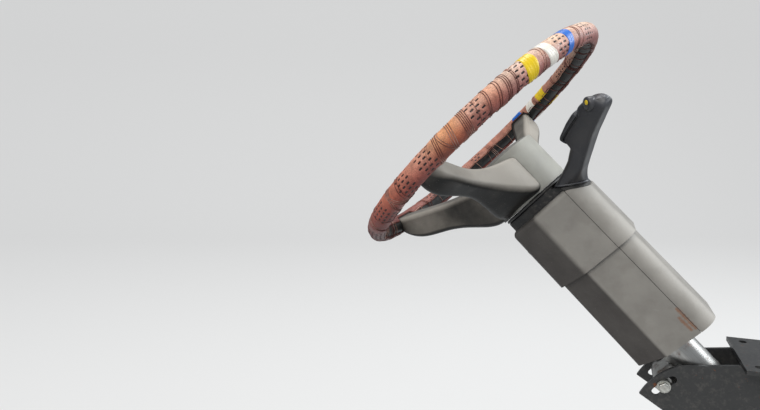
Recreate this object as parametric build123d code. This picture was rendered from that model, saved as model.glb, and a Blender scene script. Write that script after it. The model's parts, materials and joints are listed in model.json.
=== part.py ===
from build123d import *
import math
import os

# Truck steering wheel with a laced rim cover on a tilting, telescoping column.
# The column frame has x towards twelve o'clock, y to the driver's left and z
# along the column axis towards the driver, with its zero in the wheel's plane.
# A station is a place along that axis, so stations down the column are negative.

# Placing of the column in the part's frame
COLUMN_RAKE = 45.3
WHEEL_TURN = -14.0
PIVOT_X = -90.0
PIVOT_Z = -112.0

# Mounting bracket
PLATE_LENGTH = 120.0
PLATE_WIDTH = 140.0
PLATE_THICK = 6.0
BOLT_SPACING_X = 84.0
BOLT_SPACING_Y = 104.0
BOLT_HOLE_R = 5.5
CHEEK_GAP = 67.0
CHEEK_THICK = 5.0
CHEEK_MARGIN = 15.0
CHEEK_FOOT_WRAP_DEG = 40.0
CHEEK_FOOT_MID_DEG = -100.0
CHEEK_FOOT_END_DEG = -50.0
SLOT_SPARE_DEG = 1.5
TILT_LIMIT_DEG = 8.0

# Tilt pivot and tilt clamp, below the jacket
PIVOT_DROP = 46.0
PIVOT_STATION = -530.0
PIVOT_PIN_R = 6.0
PIVOT_HEAD_R = 10.0
PIVOT_HEAD_THICK = 5.0
CLAMP_REACH = 90.0
CLAMP_BOLT_R = 5.0
CLAMP_HEAD_R = 9.0
CLAMP_HEAD_THICK = 6.0
LUG_R = 12.0
LUG_SIDE_GAP = 0.5
RUNNING_FIT = 0.05
FACE_GAP = 0.3

# Jacket, inner tube and bearings
JACKET_R = 27.0
JACKET_WALL = 2.5
JACKET_FRONT = -255.0
JACKET_BACK = -560.0
BUSH_WALL = 4.5
BUSH_LENGTH = 22.0
BUSH_PITCH = 55.0
INNER_TUBE_R = JACKET_R - JACKET_WALL - BUSH_WALL
INNER_TUBE_WALL = 2.5
INNER_TUBE_FRONT = -152.0
INNER_TUBE_BACK = -345.0
BEARING_LENGTH = 12.0
BEARING_INSET = 4.0
CLAMP_RING_WALL = 6.0
CLAMP_RING_LENGTH = 20.0
CLAMP_RING_INSET = 6.0
CLAMP_RING_SPLIT = 5.0
CLAMP_EAR = 20.0
CARRIER_THICK = 3.0
CARRIER_STATIONS = (-310.0, -390.0)

# Shrouds: the lower pair's outline, the upper pair's is the same set off outwards
SHROUD_TOP = 71.5
SHROUD_BOTTOM = -57.0
SHROUD_HALF_WIDTH = 58.0
SHROUD_CREASE = -12.0
SHROUD_FOOT_HALF_WIDTH = 22.0
SHROUD_TOP_CORNER_R = 24.0
SHROUD_CREASE_R = 7.0
SHROUD_FOOT_R = 9.0
SHROUD_WALL = 2.5
SHROUD_SLIDE_GAP = 2.5
SHROUD_SEAM = 45.0
SHROUD_SEAM_GAP = 0.8
UPPER_SHROUD_FRONT = -142.0
UPPER_SHROUD_BACK = -250.0
UPPER_SHROUD_NOSE_R = 9.0
LOWER_SHROUD_FRONT = -206.0
LOWER_SHROUD_BACK = -405.0

# Raked part of the upper shroud's nose, from the seam to the top, where the lever seats
RAKE_START = 45.0
RAKE_SLOPE_DEG = 32.5

# Black switch housing between the wheel hub and the upper shroud
HOUSING_FRONT = -127.0
HOUSING_FLANGE_INSET = 8.0
HOUSING_BODY_INSET = 22.0
HOUSING_EDGE_R = 3.0
HOUSING_BACK = -166.0
HOUSING_BORE_R = 26.0

# Wheel
RIM_R = 215.0
RIM_TUBE_R = 12.6
COVER_THICK = 2.6
COVER_GAP_FROM_DEG = 176.0
COVER_GAP_TO_DEG = 262.0
BAND_PROUD = 0.6
SPOKE_ANGLES = {"spoke_left": 90.0, "spoke_lower": 180.0, "spoke_right": 270.0}
BOSS_R = 45.0
BOSS_FRONT = -54.0
BOSS_BACK = -112.0
BOSS_NECK_R = 28.0
BOSS_NECK_BACK = -118.0
HUB_R = 60.0
HUB_WALL = 2.5
HUB_FRONT = -46.0
HUB_BACK = -122.0
HUB_COVER_HOLE_R = 30.0
HUB_COVER_SPLIT = 12.0
PAD_DEPTH = 24.0
PAD_FACE_R = 44.0
PAD_WALL = 3.0
PAD_EDGE_R = 8.0
SEAT_GAP = 0.4

# Wheel shaft and lower shaft
SHAFT_R = 11.0
SHAFT_FRONT = -38.0
SHAFT_BACK = -400.0
NUT_FLATS = 30.0
NUT_THICK = 12.0
LOWER_TUBE_R = 14.5
LOWER_TUBE_FRONT = -328.0
LOWER_TUBE_BACK = -485.0
LOWER_BORE_DEPTH = 142.0
LOWER_SHAFT_BACK = -585.0
YOKE_HUB_R = 19.0
YOKE_HUB_LENGTH = 22.0
YOKE_EAR_LENGTH = 34.0
YOKE_EAR_THICK = 8.0
YOKE_GAP = 28.0
YOKE_BORE_R = 7.5
YOKE_EAR_R = 14.0
YOKE_EAR_OVERLAP = 6.0

# Hand lever: its line, its seat on the raked nose and the stud it turns on
LEVER_FOOT = (60.0, -53.0, -140.5)
LEVER_TIP = (164.5, -153.0, -91.0)
SEAT_UP = 54.0
SEAT_LEFT = -46.0
SEAT_THICK = 4.0
SEAT_INSET = 1.5
SEAT_RUN_GAP = 1.5
SEAT_BOSS_R = 9.0
SEAT_BOSS_DEPTH = 10.0
SEAT_POCKET_UP = 33.0
SEAT_POCKET_LEFT = -25.0
STUD_R = 5.0
STUD_DEPTH = 8.0
STUD_GRIP = 9.0
SKIRT_LENGTH = 40.0
SKIRT_WIDTH = 33.0
SKIRT_CORNER_R = 14.0
SKIRT_EDGE = 2.5
PADDLE_WIDTH = 13.0
PADDLE_THICK = 9.0
PADDLE_FROM = (0.43, 31.5)
PADDLE_TO = (0.79, 27.5)
BUTTON_SHARE = 0.9
BUTTON_R = 7.0
BUTTON_PROUD = 1.5
BUTTON_DEPTH = 10.0

# Colour bands on the rim cover: name, angle and width near the door, angle and width on the far side
BANDS = (
    ("band_yellow", 321.0, 4.4, 72.0, 6.5),
    ("band_white", 330.0, 3.8, 81.0, 5.0),
    ("band_blue", 341.0, 3.6, 91.0, 6.0),
)

# Side spoke sections: share of the way from hub to rim, width, front station, back station, corner radius
SIDE_SPOKE_SECTIONS = (
    (-0.13, 76.0, -56.0, -118.0, 9.0),
    (0.013, 77.0, -54.0, -118.0, 9.0),
    (0.26, 50.0, -46.0, -92.0, 9.0),
    (0.645, 35.0, -17.0, -54.0, 9.0),
    (0.99, 27.0, 9.0, -15.0, 8.0),
)

# Lower spoke sections, in the same columns
LOWER_SPOKE_SECTIONS = (
    (-0.13, 76.0, -56.0, -118.0, 9.0),
    (0.013, 74.0, -50.0, -118.0, 9.0),
    (0.26, 56.0, -38.0, -96.0, 9.0),
    (0.645, 45.0, -13.0, -62.0, 9.0),
    (0.99, 39.0, 10.0, -19.0, 9.0),
)

# Lever grip sections: share of the way from foot to tip, width, depth, corner radius, shift in depth
LEVER_SECTIONS = (
    (0.19, 25.0, 27.0, 11.0, -0.5),
    (0.28, 23.0, 24.5, 10.0, 0.8),
    (0.37, 23.0, 26.5, 10.0, 3.0),
    (0.50, 27.0, 36.0, 12.0, 9.0),
    (0.66, 28.0, 33.0, 12.0, 9.0),
    (0.82, 28.0, 30.0, 12.0, 6.5),
    (0.95, 25.0, 25.0, 11.0, 3.0),
)
TIP_SECTION = (1.025, 13.0, 13.0, 6.0, -0.5)

MIN = Align.MIN
MID = Align.CENTER

COLUMN_ANGLE = COLUMN_RAKE - 90.0
PIVOT_LOCAL = Vector(-PIVOT_DROP, 0, PIVOT_STATION)
TO_PART_ROTATION = Location((0, 0, 0), (0, COLUMN_ANGLE, 0))
PIVOT_TURNED = (TO_PART_ROTATION * Pos(*PIVOT_LOCAL)).position
COLUMN = Location((PIVOT_X - PIVOT_TURNED.X, 0, PIVOT_Z - PIVOT_TURNED.Z), (0, COLUMN_ANGLE, 0))
WHEEL = COLUMN * Rot(0, 0, WHEEL_TURN)

nodes = {}


def rod(radius, back, front):
    """Round bar along the column axis between two stations."""
    return Pos(0, 0, back) * Cylinder(radius, front - back, align=(MID, MID, MIN))


def tube(outer, inner, back, front):
    """Tube along the column axis between two stations."""
    return rod(outer, back, front) - rod(inner, back, front)


def cross_rod(radius, x, z, half_length):
    """Round bar across the column, along y."""
    return Pos(x, 0, z) * Rot(90, 0, 0) * Cylinder(radius, 2 * half_length)


def slab(x_from, x_to, half_width, z_from, z_to):
    """Block between two x values and two stations, even about the middle."""
    block = Box(x_to - x_from, 2 * half_width, z_to - z_from, align=(MIN, MID, MIN))
    return Pos(x_from, 0, z_from) * block


def shroud_outline(set_off):
    """Closed outline of the lower shroud, set off outwards or, if negative, inwards."""
    corners = [
        (SHROUD_TOP, SHROUD_HALF_WIDTH),
        (SHROUD_CREASE, SHROUD_HALF_WIDTH),
        (SHROUD_BOTTOM, SHROUD_FOOT_HALF_WIDTH),
        (SHROUD_BOTTOM, -SHROUD_FOOT_HALF_WIDTH),
        (SHROUD_CREASE, -SHROUD_HALF_WIDTH),
        (SHROUD_TOP, -SHROUD_HALF_WIDTH),
    ]
    face = make_face(Polyline(*corners, close=True))
    rounds = (
        (SHROUD_TOP, SHROUD_TOP_CORNER_R),
        (SHROUD_CREASE, SHROUD_CREASE_R),
        (SHROUD_BOTTOM, SHROUD_FOOT_R),
    )
    for level, radius in rounds:
        picked = [v for v in face.vertices() if abs(v.X - level) < 0.01]
        face = fillet(picked, radius)
    if set_off:
        face = offset(face, set_off, kind=Kind.ARC)
    return face


def shroud_block(set_off, back, front):
    """Solid with the shroud's outline between two stations."""
    return extrude(Pos(0, 0, back) * shroud_outline(set_off), front - back)


def split_shroud(shell, name):
    """Cut a shroud at its seam into a lid and a tray."""
    reach = 4 * SHROUD_TOP
    lid = shell & slab(SHROUD_SEAM + SHROUD_SEAM_GAP / 2, reach, reach, 2 * JACKET_BACK, 0)
    tray = shell & slab(-reach, SHROUD_SEAM - SHROUD_SEAM_GAP / 2, reach, 2 * JACKET_BACK, 0)
    nodes[name + "_top"] = COLUMN * lid
    nodes[name + "_bottom"] = COLUMN * tray


def spoke_section(section, grow):
    """Rounded rectangle across a spoke at one radius."""
    share, width, front, back, corner = section
    radius = HUB_R + share * (RIM_R - HUB_R)
    plane = Plane(origin=(radius, 0, (front + back) / 2), x_dir=(0, 1, 0), z_dir=(1, 0, 0))
    return plane * RectangleRounded(width + 2 * grow, front - back + 2 * grow, corner + grow)


def spoke(name, grow=0.0):
    """Spoke moulding from the boss to the rim, seated on both."""
    sections = LOWER_SPOKE_SECTIONS if name == "spoke_lower" else SIDE_SPOKE_SECTIONS
    body = loft([spoke_section(section, grow) for section in sections])
    body = Rot(0, 0, SPOKE_ANGLES[name]) * body
    if grow:
        return body
    body -= rod(BOSS_R + RUNNING_FIT, HUB_BACK, 0)
    body -= Torus(RIM_R, RIM_TUBE_R + RUNNING_FIT)
    return body.solids().sort_by(SortBy.VOLUME)[-1]


def cover_section(outer_r):
    """Open ring section of the rim cover, with its laced gap inwards and to the back."""
    inner_r = RIM_TUBE_R + RUNNING_FIT
    start = COVER_GAP_TO_DEG
    sweep = 360.0 - (COVER_GAP_TO_DEG - COVER_GAP_FROM_DEG)
    outer = CenterArc((0, 0), outer_r, start, sweep)
    inner = CenterArc((0, 0), inner_r, start, sweep)
    sides = [Line(outer @ 0, inner @ 0), Line(outer @ 1, inner @ 1)]
    face = make_face([outer, inner, *sides])
    return Plane(origin=(RIM_R, 0, 0), x_dir=(1, 0, 0), z_dir=(0, -1, 0)) * face


def cover_span(outer_r, middle, width):
    """Stretch of rim cover about one angle."""
    span = revolve(cover_section(outer_r), Axis.Z, width)
    return Rot(0, 0, middle - width / 2) * span


def bracket():
    """Mounting plate with two hanging cheeks."""
    plate = Box(PLATE_LENGTH, PLATE_WIDTH, PLATE_THICK, align=(MID, MID, Align.MAX))
    for x in (-BOLT_SPACING_X / 2, BOLT_SPACING_X / 2):
        for y in (-BOLT_SPACING_Y / 2, BOLT_SPACING_Y / 2):
            plate -= Pos(x, y, 0) * Cylinder(BOLT_HOLE_R, 4 * PLATE_THICK)
    return plate + cheek(1) + cheek(-1)


def cheek(side):
    """One hanging cheek with its pivot hole and arc slot, in the part's frame."""
    slot_angle = 180.0 - COLUMN_RAKE
    reach = CLAMP_REACH + CHEEK_MARGIN
    half = TILT_LIMIT_DEG + SLOT_SPARE_DEG
    edge = half + math.degrees(CHEEK_MARGIN / CLAMP_REACH)
    high = slot_angle - edge
    low = slot_angle + edge

    def at(radius, angle):
        turn = math.radians(angle)
        return (PIVOT_X + radius * math.cos(turn), PIVOT_Z + radius * math.sin(turn))

    plate_back = (-PLATE_LENGTH / 2, -PLATE_THICK)
    plate_front = (PLATE_LENGTH / 2, -PLATE_THICK)
    rim = ThreePointArc(at(reach, high), at(reach, slot_angle), at(reach, low))
    foot_from = at(CHEEK_MARGIN, low + CHEEK_FOOT_WRAP_DEG)
    foot_mid = at(CHEEK_MARGIN, CHEEK_FOOT_MID_DEG)
    foot_to = at(CHEEK_MARGIN, CHEEK_FOOT_END_DEG)
    foot = ThreePointArc(foot_from, foot_mid, foot_to)
    runs = [
        Line(plate_front, plate_back),
        Line(plate_back, at(reach, high)),
        rim,
        Line(at(reach, low), foot_from),
        foot,
        Line(foot_to, plate_front),
    ]
    outline = make_face(runs)
    outline -= Pos(PIVOT_X, PIVOT_Z) * Circle(PIVOT_PIN_R + RUNNING_FIT)
    slot_line = CenterArc((PIVOT_X, PIVOT_Z), CLAMP_REACH, slot_angle - half, 2 * half)
    outline -= SlotArc(slot_line, 2 * (CLAMP_BOLT_R + FACE_GAP))
    flat = Plane(origin=(0, 0, 0), x_dir=(1, 0, 0), z_dir=(0, -1, 0)) * outline
    inner = CHEEK_GAP / 2
    solid = extrude(flat, CHEEK_THICK)
    shift = inner + CHEEK_THICK if side > 0 else -inner
    return Pos(0, shift, 0) * solid


def lug(station, hole_r):
    """Cross lug welded under the jacket, bored for a pin."""
    half = CHEEK_GAP / 2 - LUG_SIDE_GAP
    body = cross_rod(LUG_R, -PIVOT_DROP, station, half)
    body += Pos(-PIVOT_DROP, 0, station) * Box(PIVOT_DROP, half, 2 * LUG_R, align=(MIN, MID, MID))
    body -= rod(JACKET_R - JACKET_WALL / 2, JACKET_BACK, JACKET_FRONT)
    return body - cross_rod(hole_r, -PIVOT_DROP, station, 2 * half)


def lever_plane(share, shift=0.0):
    """Plane across the lever at a share of its length, moved in depth by the shift."""
    foot = Vector(*LEVER_FOOT)
    along = Vector(*LEVER_TIP) - foot
    across = Vector(0, 0, 1).cross(along)
    unshifted = Plane(origin=foot + along * share, x_dir=across, z_dir=along)
    return Plane(unshifted.location * Pos(0, shift, 0))


def lever_section(share, width, depth, corner, shift):
    """Rounded rectangle across the lever."""
    return lever_plane(share, shift) * RectangleRounded(width, depth, corner)


def rake_plane(height):
    """Plane over the raked nose at a height above it, its x direction up the rake."""
    slope = math.radians(RAKE_SLOPE_DEG)
    up = Vector(math.cos(slope), 0, -math.sin(slope))
    normal = Vector(math.sin(slope), 0, math.cos(slope))
    origin = Vector(RAKE_START, 0, UPPER_SHROUD_FRONT) + normal * height
    return Plane(origin=origin, x_dir=up, z_dir=normal)


def above_rake(height, start):
    """Everything over the raked nose from a height, and beyond a start in x."""
    reach = 4 * SHROUD_TOP
    over = rake_plane(height) * Box(2 * reach, 2 * reach, reach, align=(MID, MID, MIN))
    return over & slab(start, reach, reach, -reach, reach)


def on_seat(height):
    """Plane at the lever's pivot, over the raked nose at a height."""
    rise = (SEAT_UP - RAKE_START) / math.cos(math.radians(RAKE_SLOPE_DEG))
    return rake_plane(height) * Pos(rise, SEAT_LEFT, 0)


# Bracket body
nodes["mounting_bracket"] = bracket()
pin_half = CHEEK_GAP / 2 + CHEEK_THICK
pivot_pin = cross_rod(PIVOT_PIN_R, PIVOT_X, PIVOT_Z, pin_half + PIVOT_HEAD_THICK)
for end in (-1, 1):
    head = cross_rod(PIVOT_HEAD_R, PIVOT_X, PIVOT_Z, PIVOT_HEAD_THICK / 2)
    pivot_pin += Pos(0, end * (pin_half + PIVOT_HEAD_THICK / 2), 0) * head
nodes["tilt_pivot_pin"] = pivot_pin

# Column body: jacket with its two lugs
clamp_station = PIVOT_STATION + CLAMP_REACH
jacket = rod(JACKET_R, JACKET_BACK, JACKET_FRONT)
jacket += lug(PIVOT_STATION, PIVOT_PIN_R + RUNNING_FIT)
jacket += lug(clamp_station, CLAMP_BOLT_R + RUNNING_FIT)
jacket -= rod(JACKET_R - JACKET_WALL, 2 * JACKET_BACK, 0)
nodes["outer_jacket"] = COLUMN * jacket

bush_outer = JACKET_R - JACKET_WALL
bush_inner = INNER_TUBE_R + RUNNING_FIT
bushes = []
for front in (JACKET_FRONT, JACKET_FRONT - BUSH_PITCH):
    bushes.append(tube(bush_outer, bush_inner, front - BUSH_LENGTH, front))
nodes["slide_bushes"] = COLUMN * Compound(bushes)

lower_bearing = tube(bush_outer, SHAFT_R + RUNNING_FIT, JACKET_BACK, JACKET_BACK + BEARING_LENGTH)
nodes["lower_bearing"] = COLUMN * lower_bearing

bolt_half = CHEEK_GAP / 2 + CHEEK_THICK + FACE_GAP
clamp_bolt = cross_rod(CLAMP_BOLT_R, -PIVOT_DROP, clamp_station, bolt_half)
for end in (-1, 1):
    head = Rot(90, 0, 0) * Cylinder(CLAMP_HEAD_R, CLAMP_HEAD_THICK)
    clamp_bolt += Pos(-PIVOT_DROP, end * (bolt_half + CLAMP_HEAD_THICK / 2), clamp_station) * head
nodes["tilt_clamp_bolt"] = COLUMN * clamp_bolt

ring_front = JACKET_FRONT - CLAMP_RING_INSET
ring_back = ring_front - CLAMP_RING_LENGTH
ring_outer = JACKET_R + CLAMP_RING_WALL
slide_clamp = rod(ring_outer, ring_back, ring_front)
slide_clamp += slab(-ring_outer - CLAMP_EAR / 2, 0, CLAMP_EAR / 2, ring_back, ring_front)
slide_clamp -= rod(JACKET_R + RUNNING_FIT, ring_back, ring_front)
slide_clamp -= slab(-2 * ring_outer, 0, CLAMP_RING_SPLIT / 2, ring_back, ring_front)
nodes["slide_clamp"] = COLUMN * slide_clamp

carriers = []
for station in CARRIER_STATIONS:
    plate = shroud_block(-SHROUD_WALL, station, station + CARRIER_THICK)
    carriers.append(plate - rod(JACKET_R + RUNNING_FIT, station, station + CARRIER_THICK))
nodes["shroud_carriers"] = COLUMN * Compound(carriers)

lower_shell = shroud_block(0, LOWER_SHROUD_BACK, LOWER_SHROUD_FRONT)
lower_shell -= shroud_block(-SHROUD_WALL, LOWER_SHROUD_BACK, LOWER_SHROUD_FRONT)
split_shroud(lower_shell, "lower_shroud")

# Telescoping body
nodes["inner_tube"] = COLUMN * tube(
    INNER_TUBE_R, INNER_TUBE_R - INNER_TUBE_WALL, INNER_TUBE_BACK, INNER_TUBE_FRONT
)
bearing_front = INNER_TUBE_FRONT - BEARING_INSET
nodes["upper_bearing"] = COLUMN * tube(
    INNER_TUBE_R - INNER_TUBE_WALL,
    SHAFT_R + RUNNING_FIT,
    bearing_front - BEARING_LENGTH,
    bearing_front,
)

upper_off = SHROUD_WALL + SHROUD_SLIDE_GAP
flange_off = upper_off - HOUSING_FLANGE_INSET
body_off = upper_off - HOUSING_BODY_INSET
seat_boss = on_seat(-SEAT_BOSS_DEPTH) * Cylinder(SEAT_BOSS_R, SEAT_BOSS_DEPTH, align=(MID, MID, MIN))
boss_hole = on_seat(-2 * SEAT_BOSS_DEPTH) * Cylinder(SEAT_BOSS_R + SEAT_GAP, 4 * SEAT_BOSS_DEPTH)
stud_length = STUD_DEPTH + SEAT_THICK + SEAT_RUN_GAP + STUD_GRIP
stud = on_seat(-STUD_DEPTH) * Cylinder(STUD_R, stud_length, align=(MID, MID, MIN))
pocket_side = slab(SEAT_POCKET_UP, 4 * SHROUD_TOP, 4 * SHROUD_TOP, 2 * HOUSING_BACK, 0)
pocket_side &= Pos(0, SEAT_POCKET_LEFT, 0) * Box(
    8 * SHROUD_TOP, 4 * SHROUD_TOP, 8 * SHROUD_TOP, align=(MID, Align.MAX, MID)
)
pocket = above_rake(SEAT_THICK, SEAT_POCKET_UP) & pocket_side

housing = shroud_block(flange_off, UPPER_SHROUD_FRONT, HOUSING_FRONT)
housing_edge = housing.faces().sort_by(Axis.Z)[-1].edges()
housing = fillet(housing_edge, HOUSING_EDGE_R)
flange = housing - rod(HOUSING_BORE_R, HOUSING_BACK, 0)
housing += shroud_block(body_off, HOUSING_BACK, UPPER_SHROUD_FRONT)
housing -= rod(HOUSING_BORE_R, INNER_TUBE_FRONT, 0)
housing -= rod(INNER_TUBE_R + RUNNING_FIT, 2 * HOUSING_BACK, 0)
housing -= above_rake(0, RAKE_START)
housing -= pocket
housing -= seat_boss
nodes["switch_housing"] = COLUMN * housing

# Black seat over the raked nose, with the boss that holds the lever's stud
seat = shroud_block(upper_off - SEAT_INSET, 2 * HOUSING_BACK, 0) & above_rake(0, RAKE_START)
seat -= above_rake(SEAT_THICK, -SHROUD_TOP)
seat += (flange & above_rake(0, RAKE_START)) - pocket_side
seat -= rod(HOUSING_BORE_R, 2 * HOUSING_BACK, 0)
seat += seat_boss
seat -= stud
nodes["lever_boot"] = COLUMN * seat
nodes["lever_pivot_pin"] = COLUMN * stud

upper_shell = shroud_block(upper_off, UPPER_SHROUD_BACK, UPPER_SHROUD_FRONT)
nose = upper_shell.faces().sort_by(Axis.Z)[-1].edges()
upper_shell = fillet(nose, UPPER_SHROUD_NOSE_R)
cavity = shroud_block(upper_off - SHROUD_WALL, UPPER_SHROUD_BACK, UPPER_SHROUD_FRONT - SHROUD_WALL)
cavity_nose = cavity.faces().sort_by(Axis.Z)[-1].edges()
cavity = fillet(cavity_nose, UPPER_SHROUD_NOSE_R - SHROUD_WALL)
upper_shell -= cavity
upper_shell -= shroud_block(body_off + SEAT_GAP, UPPER_SHROUD_BACK, 0)
upper_shell -= above_rake(-SEAT_GAP, RAKE_START)
upper_shell -= boss_hole
split_shroud(upper_shell, "upper_shroud")

# Hand lever body
tip = loft([lever_section(*LEVER_SECTIONS[-1]), lever_section(*TIP_SECTION)])
grip = loft([lever_section(*section) for section in LEVER_SECTIONS]) + tip
skirt_low = SEAT_THICK + SEAT_RUN_GAP
skirt_face = RectangleRounded(SKIRT_LENGTH, SKIRT_WIDTH, SKIRT_CORNER_R)
skirt = extrude(on_seat(skirt_low) * skirt_face, SKIRT_EDGE)
skirt += loft([on_seat(skirt_low + SKIRT_EDGE) * skirt_face, lever_section(*LEVER_SECTIONS[0])])
grip += skirt
grip -= on_seat(skirt_low) * Cylinder(STUD_R + RUNNING_FIT, STUD_GRIP, align=(MID, MID, MIN))

paddle_start = lever_plane(*PADDLE_FROM)
paddle_end = lever_plane(*PADDLE_TO)
paddle_run = paddle_end.origin - paddle_start.origin
paddle_plane = Plane(origin=paddle_start.origin, x_dir=paddle_start.x_dir, z_dir=paddle_run)
paddle = paddle_plane * Box(
    PADDLE_WIDTH, PADDLE_THICK, paddle_run.length, align=(MID, Align.MAX, MIN)
)
nodes["lever_paddle"] = COLUMN * paddle
grip -= paddle
button_face = LEVER_SECTIONS[-1][2] / 2 + LEVER_SECTIONS[-1][4] + BUTTON_PROUD
button = lever_plane(BUTTON_SHARE, button_face - BUTTON_DEPTH) * Rot(-90, 0, 0) * Cylinder(
    BUTTON_R, BUTTON_DEPTH, align=(MID, MID, MIN)
)
nodes["lever_button"] = COLUMN * button
grip -= button
nodes["lever_grip"] = COLUMN * grip

# Wheel body
nodes["wheel_shaft"] = WHEEL * rod(SHAFT_R, SHAFT_BACK, SHAFT_FRONT)
nut = extrude(Pos(0, 0, BOSS_FRONT) * RegularPolygon(NUT_FLATS / 2, 6, major_radius=False), NUT_THICK)
nodes["wheel_nut"] = WHEEL * (nut - rod(SHAFT_R + RUNNING_FIT, BOSS_FRONT, 0))
boss = rod(BOSS_R, BOSS_BACK, BOSS_FRONT) + rod(BOSS_NECK_R, BOSS_NECK_BACK, BOSS_BACK)
nodes["wheel_boss"] = WHEEL * (boss - rod(SHAFT_R + RUNNING_FIT, HUB_BACK, 0))

spoke_cuts = []
for name in SPOKE_ANGLES:
    nodes[name] = WHEEL * spoke(name)
    spoke_cuts.append(spoke(name, SEAT_GAP))

nodes["rim_core"] = WHEEL * Torus(RIM_R, RIM_TUBE_R)

cover_r = RIM_TUBE_R + COVER_THICK
cover = revolve(cover_section(cover_r), Axis.Z, 360)
for cut in spoke_cuts:
    cover -= cut
for name, near, near_width, far, far_width in BANDS:
    pieces = []
    for middle, width in ((near, near_width), (far, far_width)):
        band = cover_span(cover_r + BAND_PROUD, middle, width)
        cover -= band
        for cut in spoke_cuts:
            band -= cut
        pieces.append(band)
    nodes[name] = WHEEL * Compound(pieces)
nodes["rim_cover"] = WHEEL * cover

hub_shell = rod(HUB_R, HUB_BACK, HUB_FRONT) - rod(HUB_R - HUB_WALL, HUB_BACK + HUB_WALL, HUB_FRONT)
hub_shell -= rod(HUB_COVER_HOLE_R, 2 * HUB_BACK, 0)
for cut in spoke_cuts:
    hub_shell -= cut
hub_reach = 2 * HUB_R
upper_side = slab(HUB_COVER_SPLIT, hub_reach, hub_reach, 2 * HUB_BACK, 0)
lower_side = slab(-hub_reach, HUB_COVER_SPLIT, hub_reach, 2 * HUB_BACK, 0)
nodes["hub_cover_upper"] = WHEEL * (hub_shell & upper_side)
nodes["hub_cover_lower"] = WHEEL * (hub_shell & lower_side)

pad = Pos(0, 0, HUB_FRONT) * Cone(HUB_R, PAD_FACE_R, PAD_DEPTH, align=(MID, MID, MIN))
pad_face = pad.faces().sort_by(Axis.Z)[-1].edges()
pad = fillet(pad_face, PAD_EDGE_R)
pad_room = Pos(0, 0, HUB_FRONT) * Cone(
    HUB_R - PAD_WALL, PAD_FACE_R - PAD_WALL, PAD_DEPTH - PAD_WALL, align=(MID, MID, MIN)
)
nodes["horn_pad"] = WHEEL * (pad - pad_room)

# Lower shaft body
lower_shaft = rod(LOWER_TUBE_R, LOWER_TUBE_BACK, LOWER_TUBE_FRONT)
lower_shaft += rod(SHAFT_R, LOWER_SHAFT_BACK, LOWER_TUBE_BACK)
lower_shaft -= rod(SHAFT_R + RUNNING_FIT, LOWER_TUBE_FRONT - LOWER_BORE_DEPTH, 0)
nodes["lower_shaft"] = COLUMN * lower_shaft

yoke_front = LOWER_SHAFT_BACK + YOKE_HUB_LENGTH
yoke = rod(YOKE_HUB_R, LOWER_SHAFT_BACK, yoke_front)
ear_middle = LOWER_SHAFT_BACK - YOKE_EAR_LENGTH + YOKE_EAR_R
for side in (-1, 1):
    y = side * (YOKE_GAP + YOKE_EAR_THICK) / 2
    ear = Pos(0, y, ear_middle) * Rot(90, 0, 0) * Cylinder(YOKE_EAR_R, YOKE_EAR_THICK)
    ear_length = LOWER_SHAFT_BACK - ear_middle + YOKE_EAR_OVERLAP
    ear += Pos(0, y, ear_middle) * Box(
        2 * YOKE_EAR_R, YOKE_EAR_THICK, ear_length, align=(MID, MID, MIN)
    )
    yoke += ear
yoke -= Pos(0, 0, LOWER_SHAFT_BACK) * Box(
    4 * YOKE_HUB_R, YOKE_GAP, 2 * YOKE_EAR_LENGTH, align=(MID, MID, Align.MAX)
)
yoke -= cross_rod(YOKE_BORE_R, 0, ear_middle, 2 * YOKE_HUB_R)
yoke -= rod(SHAFT_R + RUNNING_FIT, LOWER_SHAFT_BACK, 0)
nodes["joint_yoke"] = COLUMN * yoke

os.makedirs("parts", exist_ok=True)
for name, shape in nodes.items():
    export_step(shape, os.path.join("parts", name + ".step"))
    print(name, round(shape.volume / 1000.0, 1), "cm3")
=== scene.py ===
# %% [markdown]
# A truck steering wheel on its column. The rim wears a laced leather cover with three coloured bands, a
# black hand lever stands beside the hub, and grey shrouds hide the sliding column below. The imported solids
# are loaded first. They stay where they are, and everything made here is measured from them.

# %% Load the frame
import json
import math

import bpy
import numpy as np
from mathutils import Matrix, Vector


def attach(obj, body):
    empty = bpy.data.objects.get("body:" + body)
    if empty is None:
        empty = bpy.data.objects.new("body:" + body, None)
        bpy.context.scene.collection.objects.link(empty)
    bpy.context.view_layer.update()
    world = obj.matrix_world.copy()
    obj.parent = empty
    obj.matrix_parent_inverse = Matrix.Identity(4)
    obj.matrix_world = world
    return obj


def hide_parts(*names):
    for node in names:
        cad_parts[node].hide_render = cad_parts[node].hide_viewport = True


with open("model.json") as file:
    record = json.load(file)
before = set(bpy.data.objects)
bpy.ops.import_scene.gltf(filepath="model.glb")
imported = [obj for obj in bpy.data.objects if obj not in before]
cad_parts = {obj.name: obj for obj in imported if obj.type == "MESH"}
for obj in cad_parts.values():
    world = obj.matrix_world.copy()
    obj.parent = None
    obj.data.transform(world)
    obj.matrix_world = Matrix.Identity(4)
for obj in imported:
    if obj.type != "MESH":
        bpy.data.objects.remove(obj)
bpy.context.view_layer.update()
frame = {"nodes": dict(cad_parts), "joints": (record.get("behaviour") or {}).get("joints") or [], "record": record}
nodes = frame["nodes"]
joints = {joint["name"]: joint for joint in frame["joints"]}
slot_of = {part["node"]: part["material_slot"] for part in frame["record"]["subparts"]}

# %% [markdown]
# Every place on the wheel and column is given in the column's own directions: up the rim to twelve o'clock,
# across to the driver's left, and along the shaft towards the driver. The zero is the middle of the rim.
# One function turns such places into the part's frame, so the shapes below read like a workshop drawing.

# %% Directions of the column
MM = 0.001
wheel_middle = np.array(joints["wheel_spin"]["pos_m"])
shaft_way = np.array(joints["wheel_spin"]["axis"])
rim_way = np.array([shaft_way[2], 0.0, -shaft_way[0]])
left_way = np.array([0.0, 1.0, 0.0])


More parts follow.
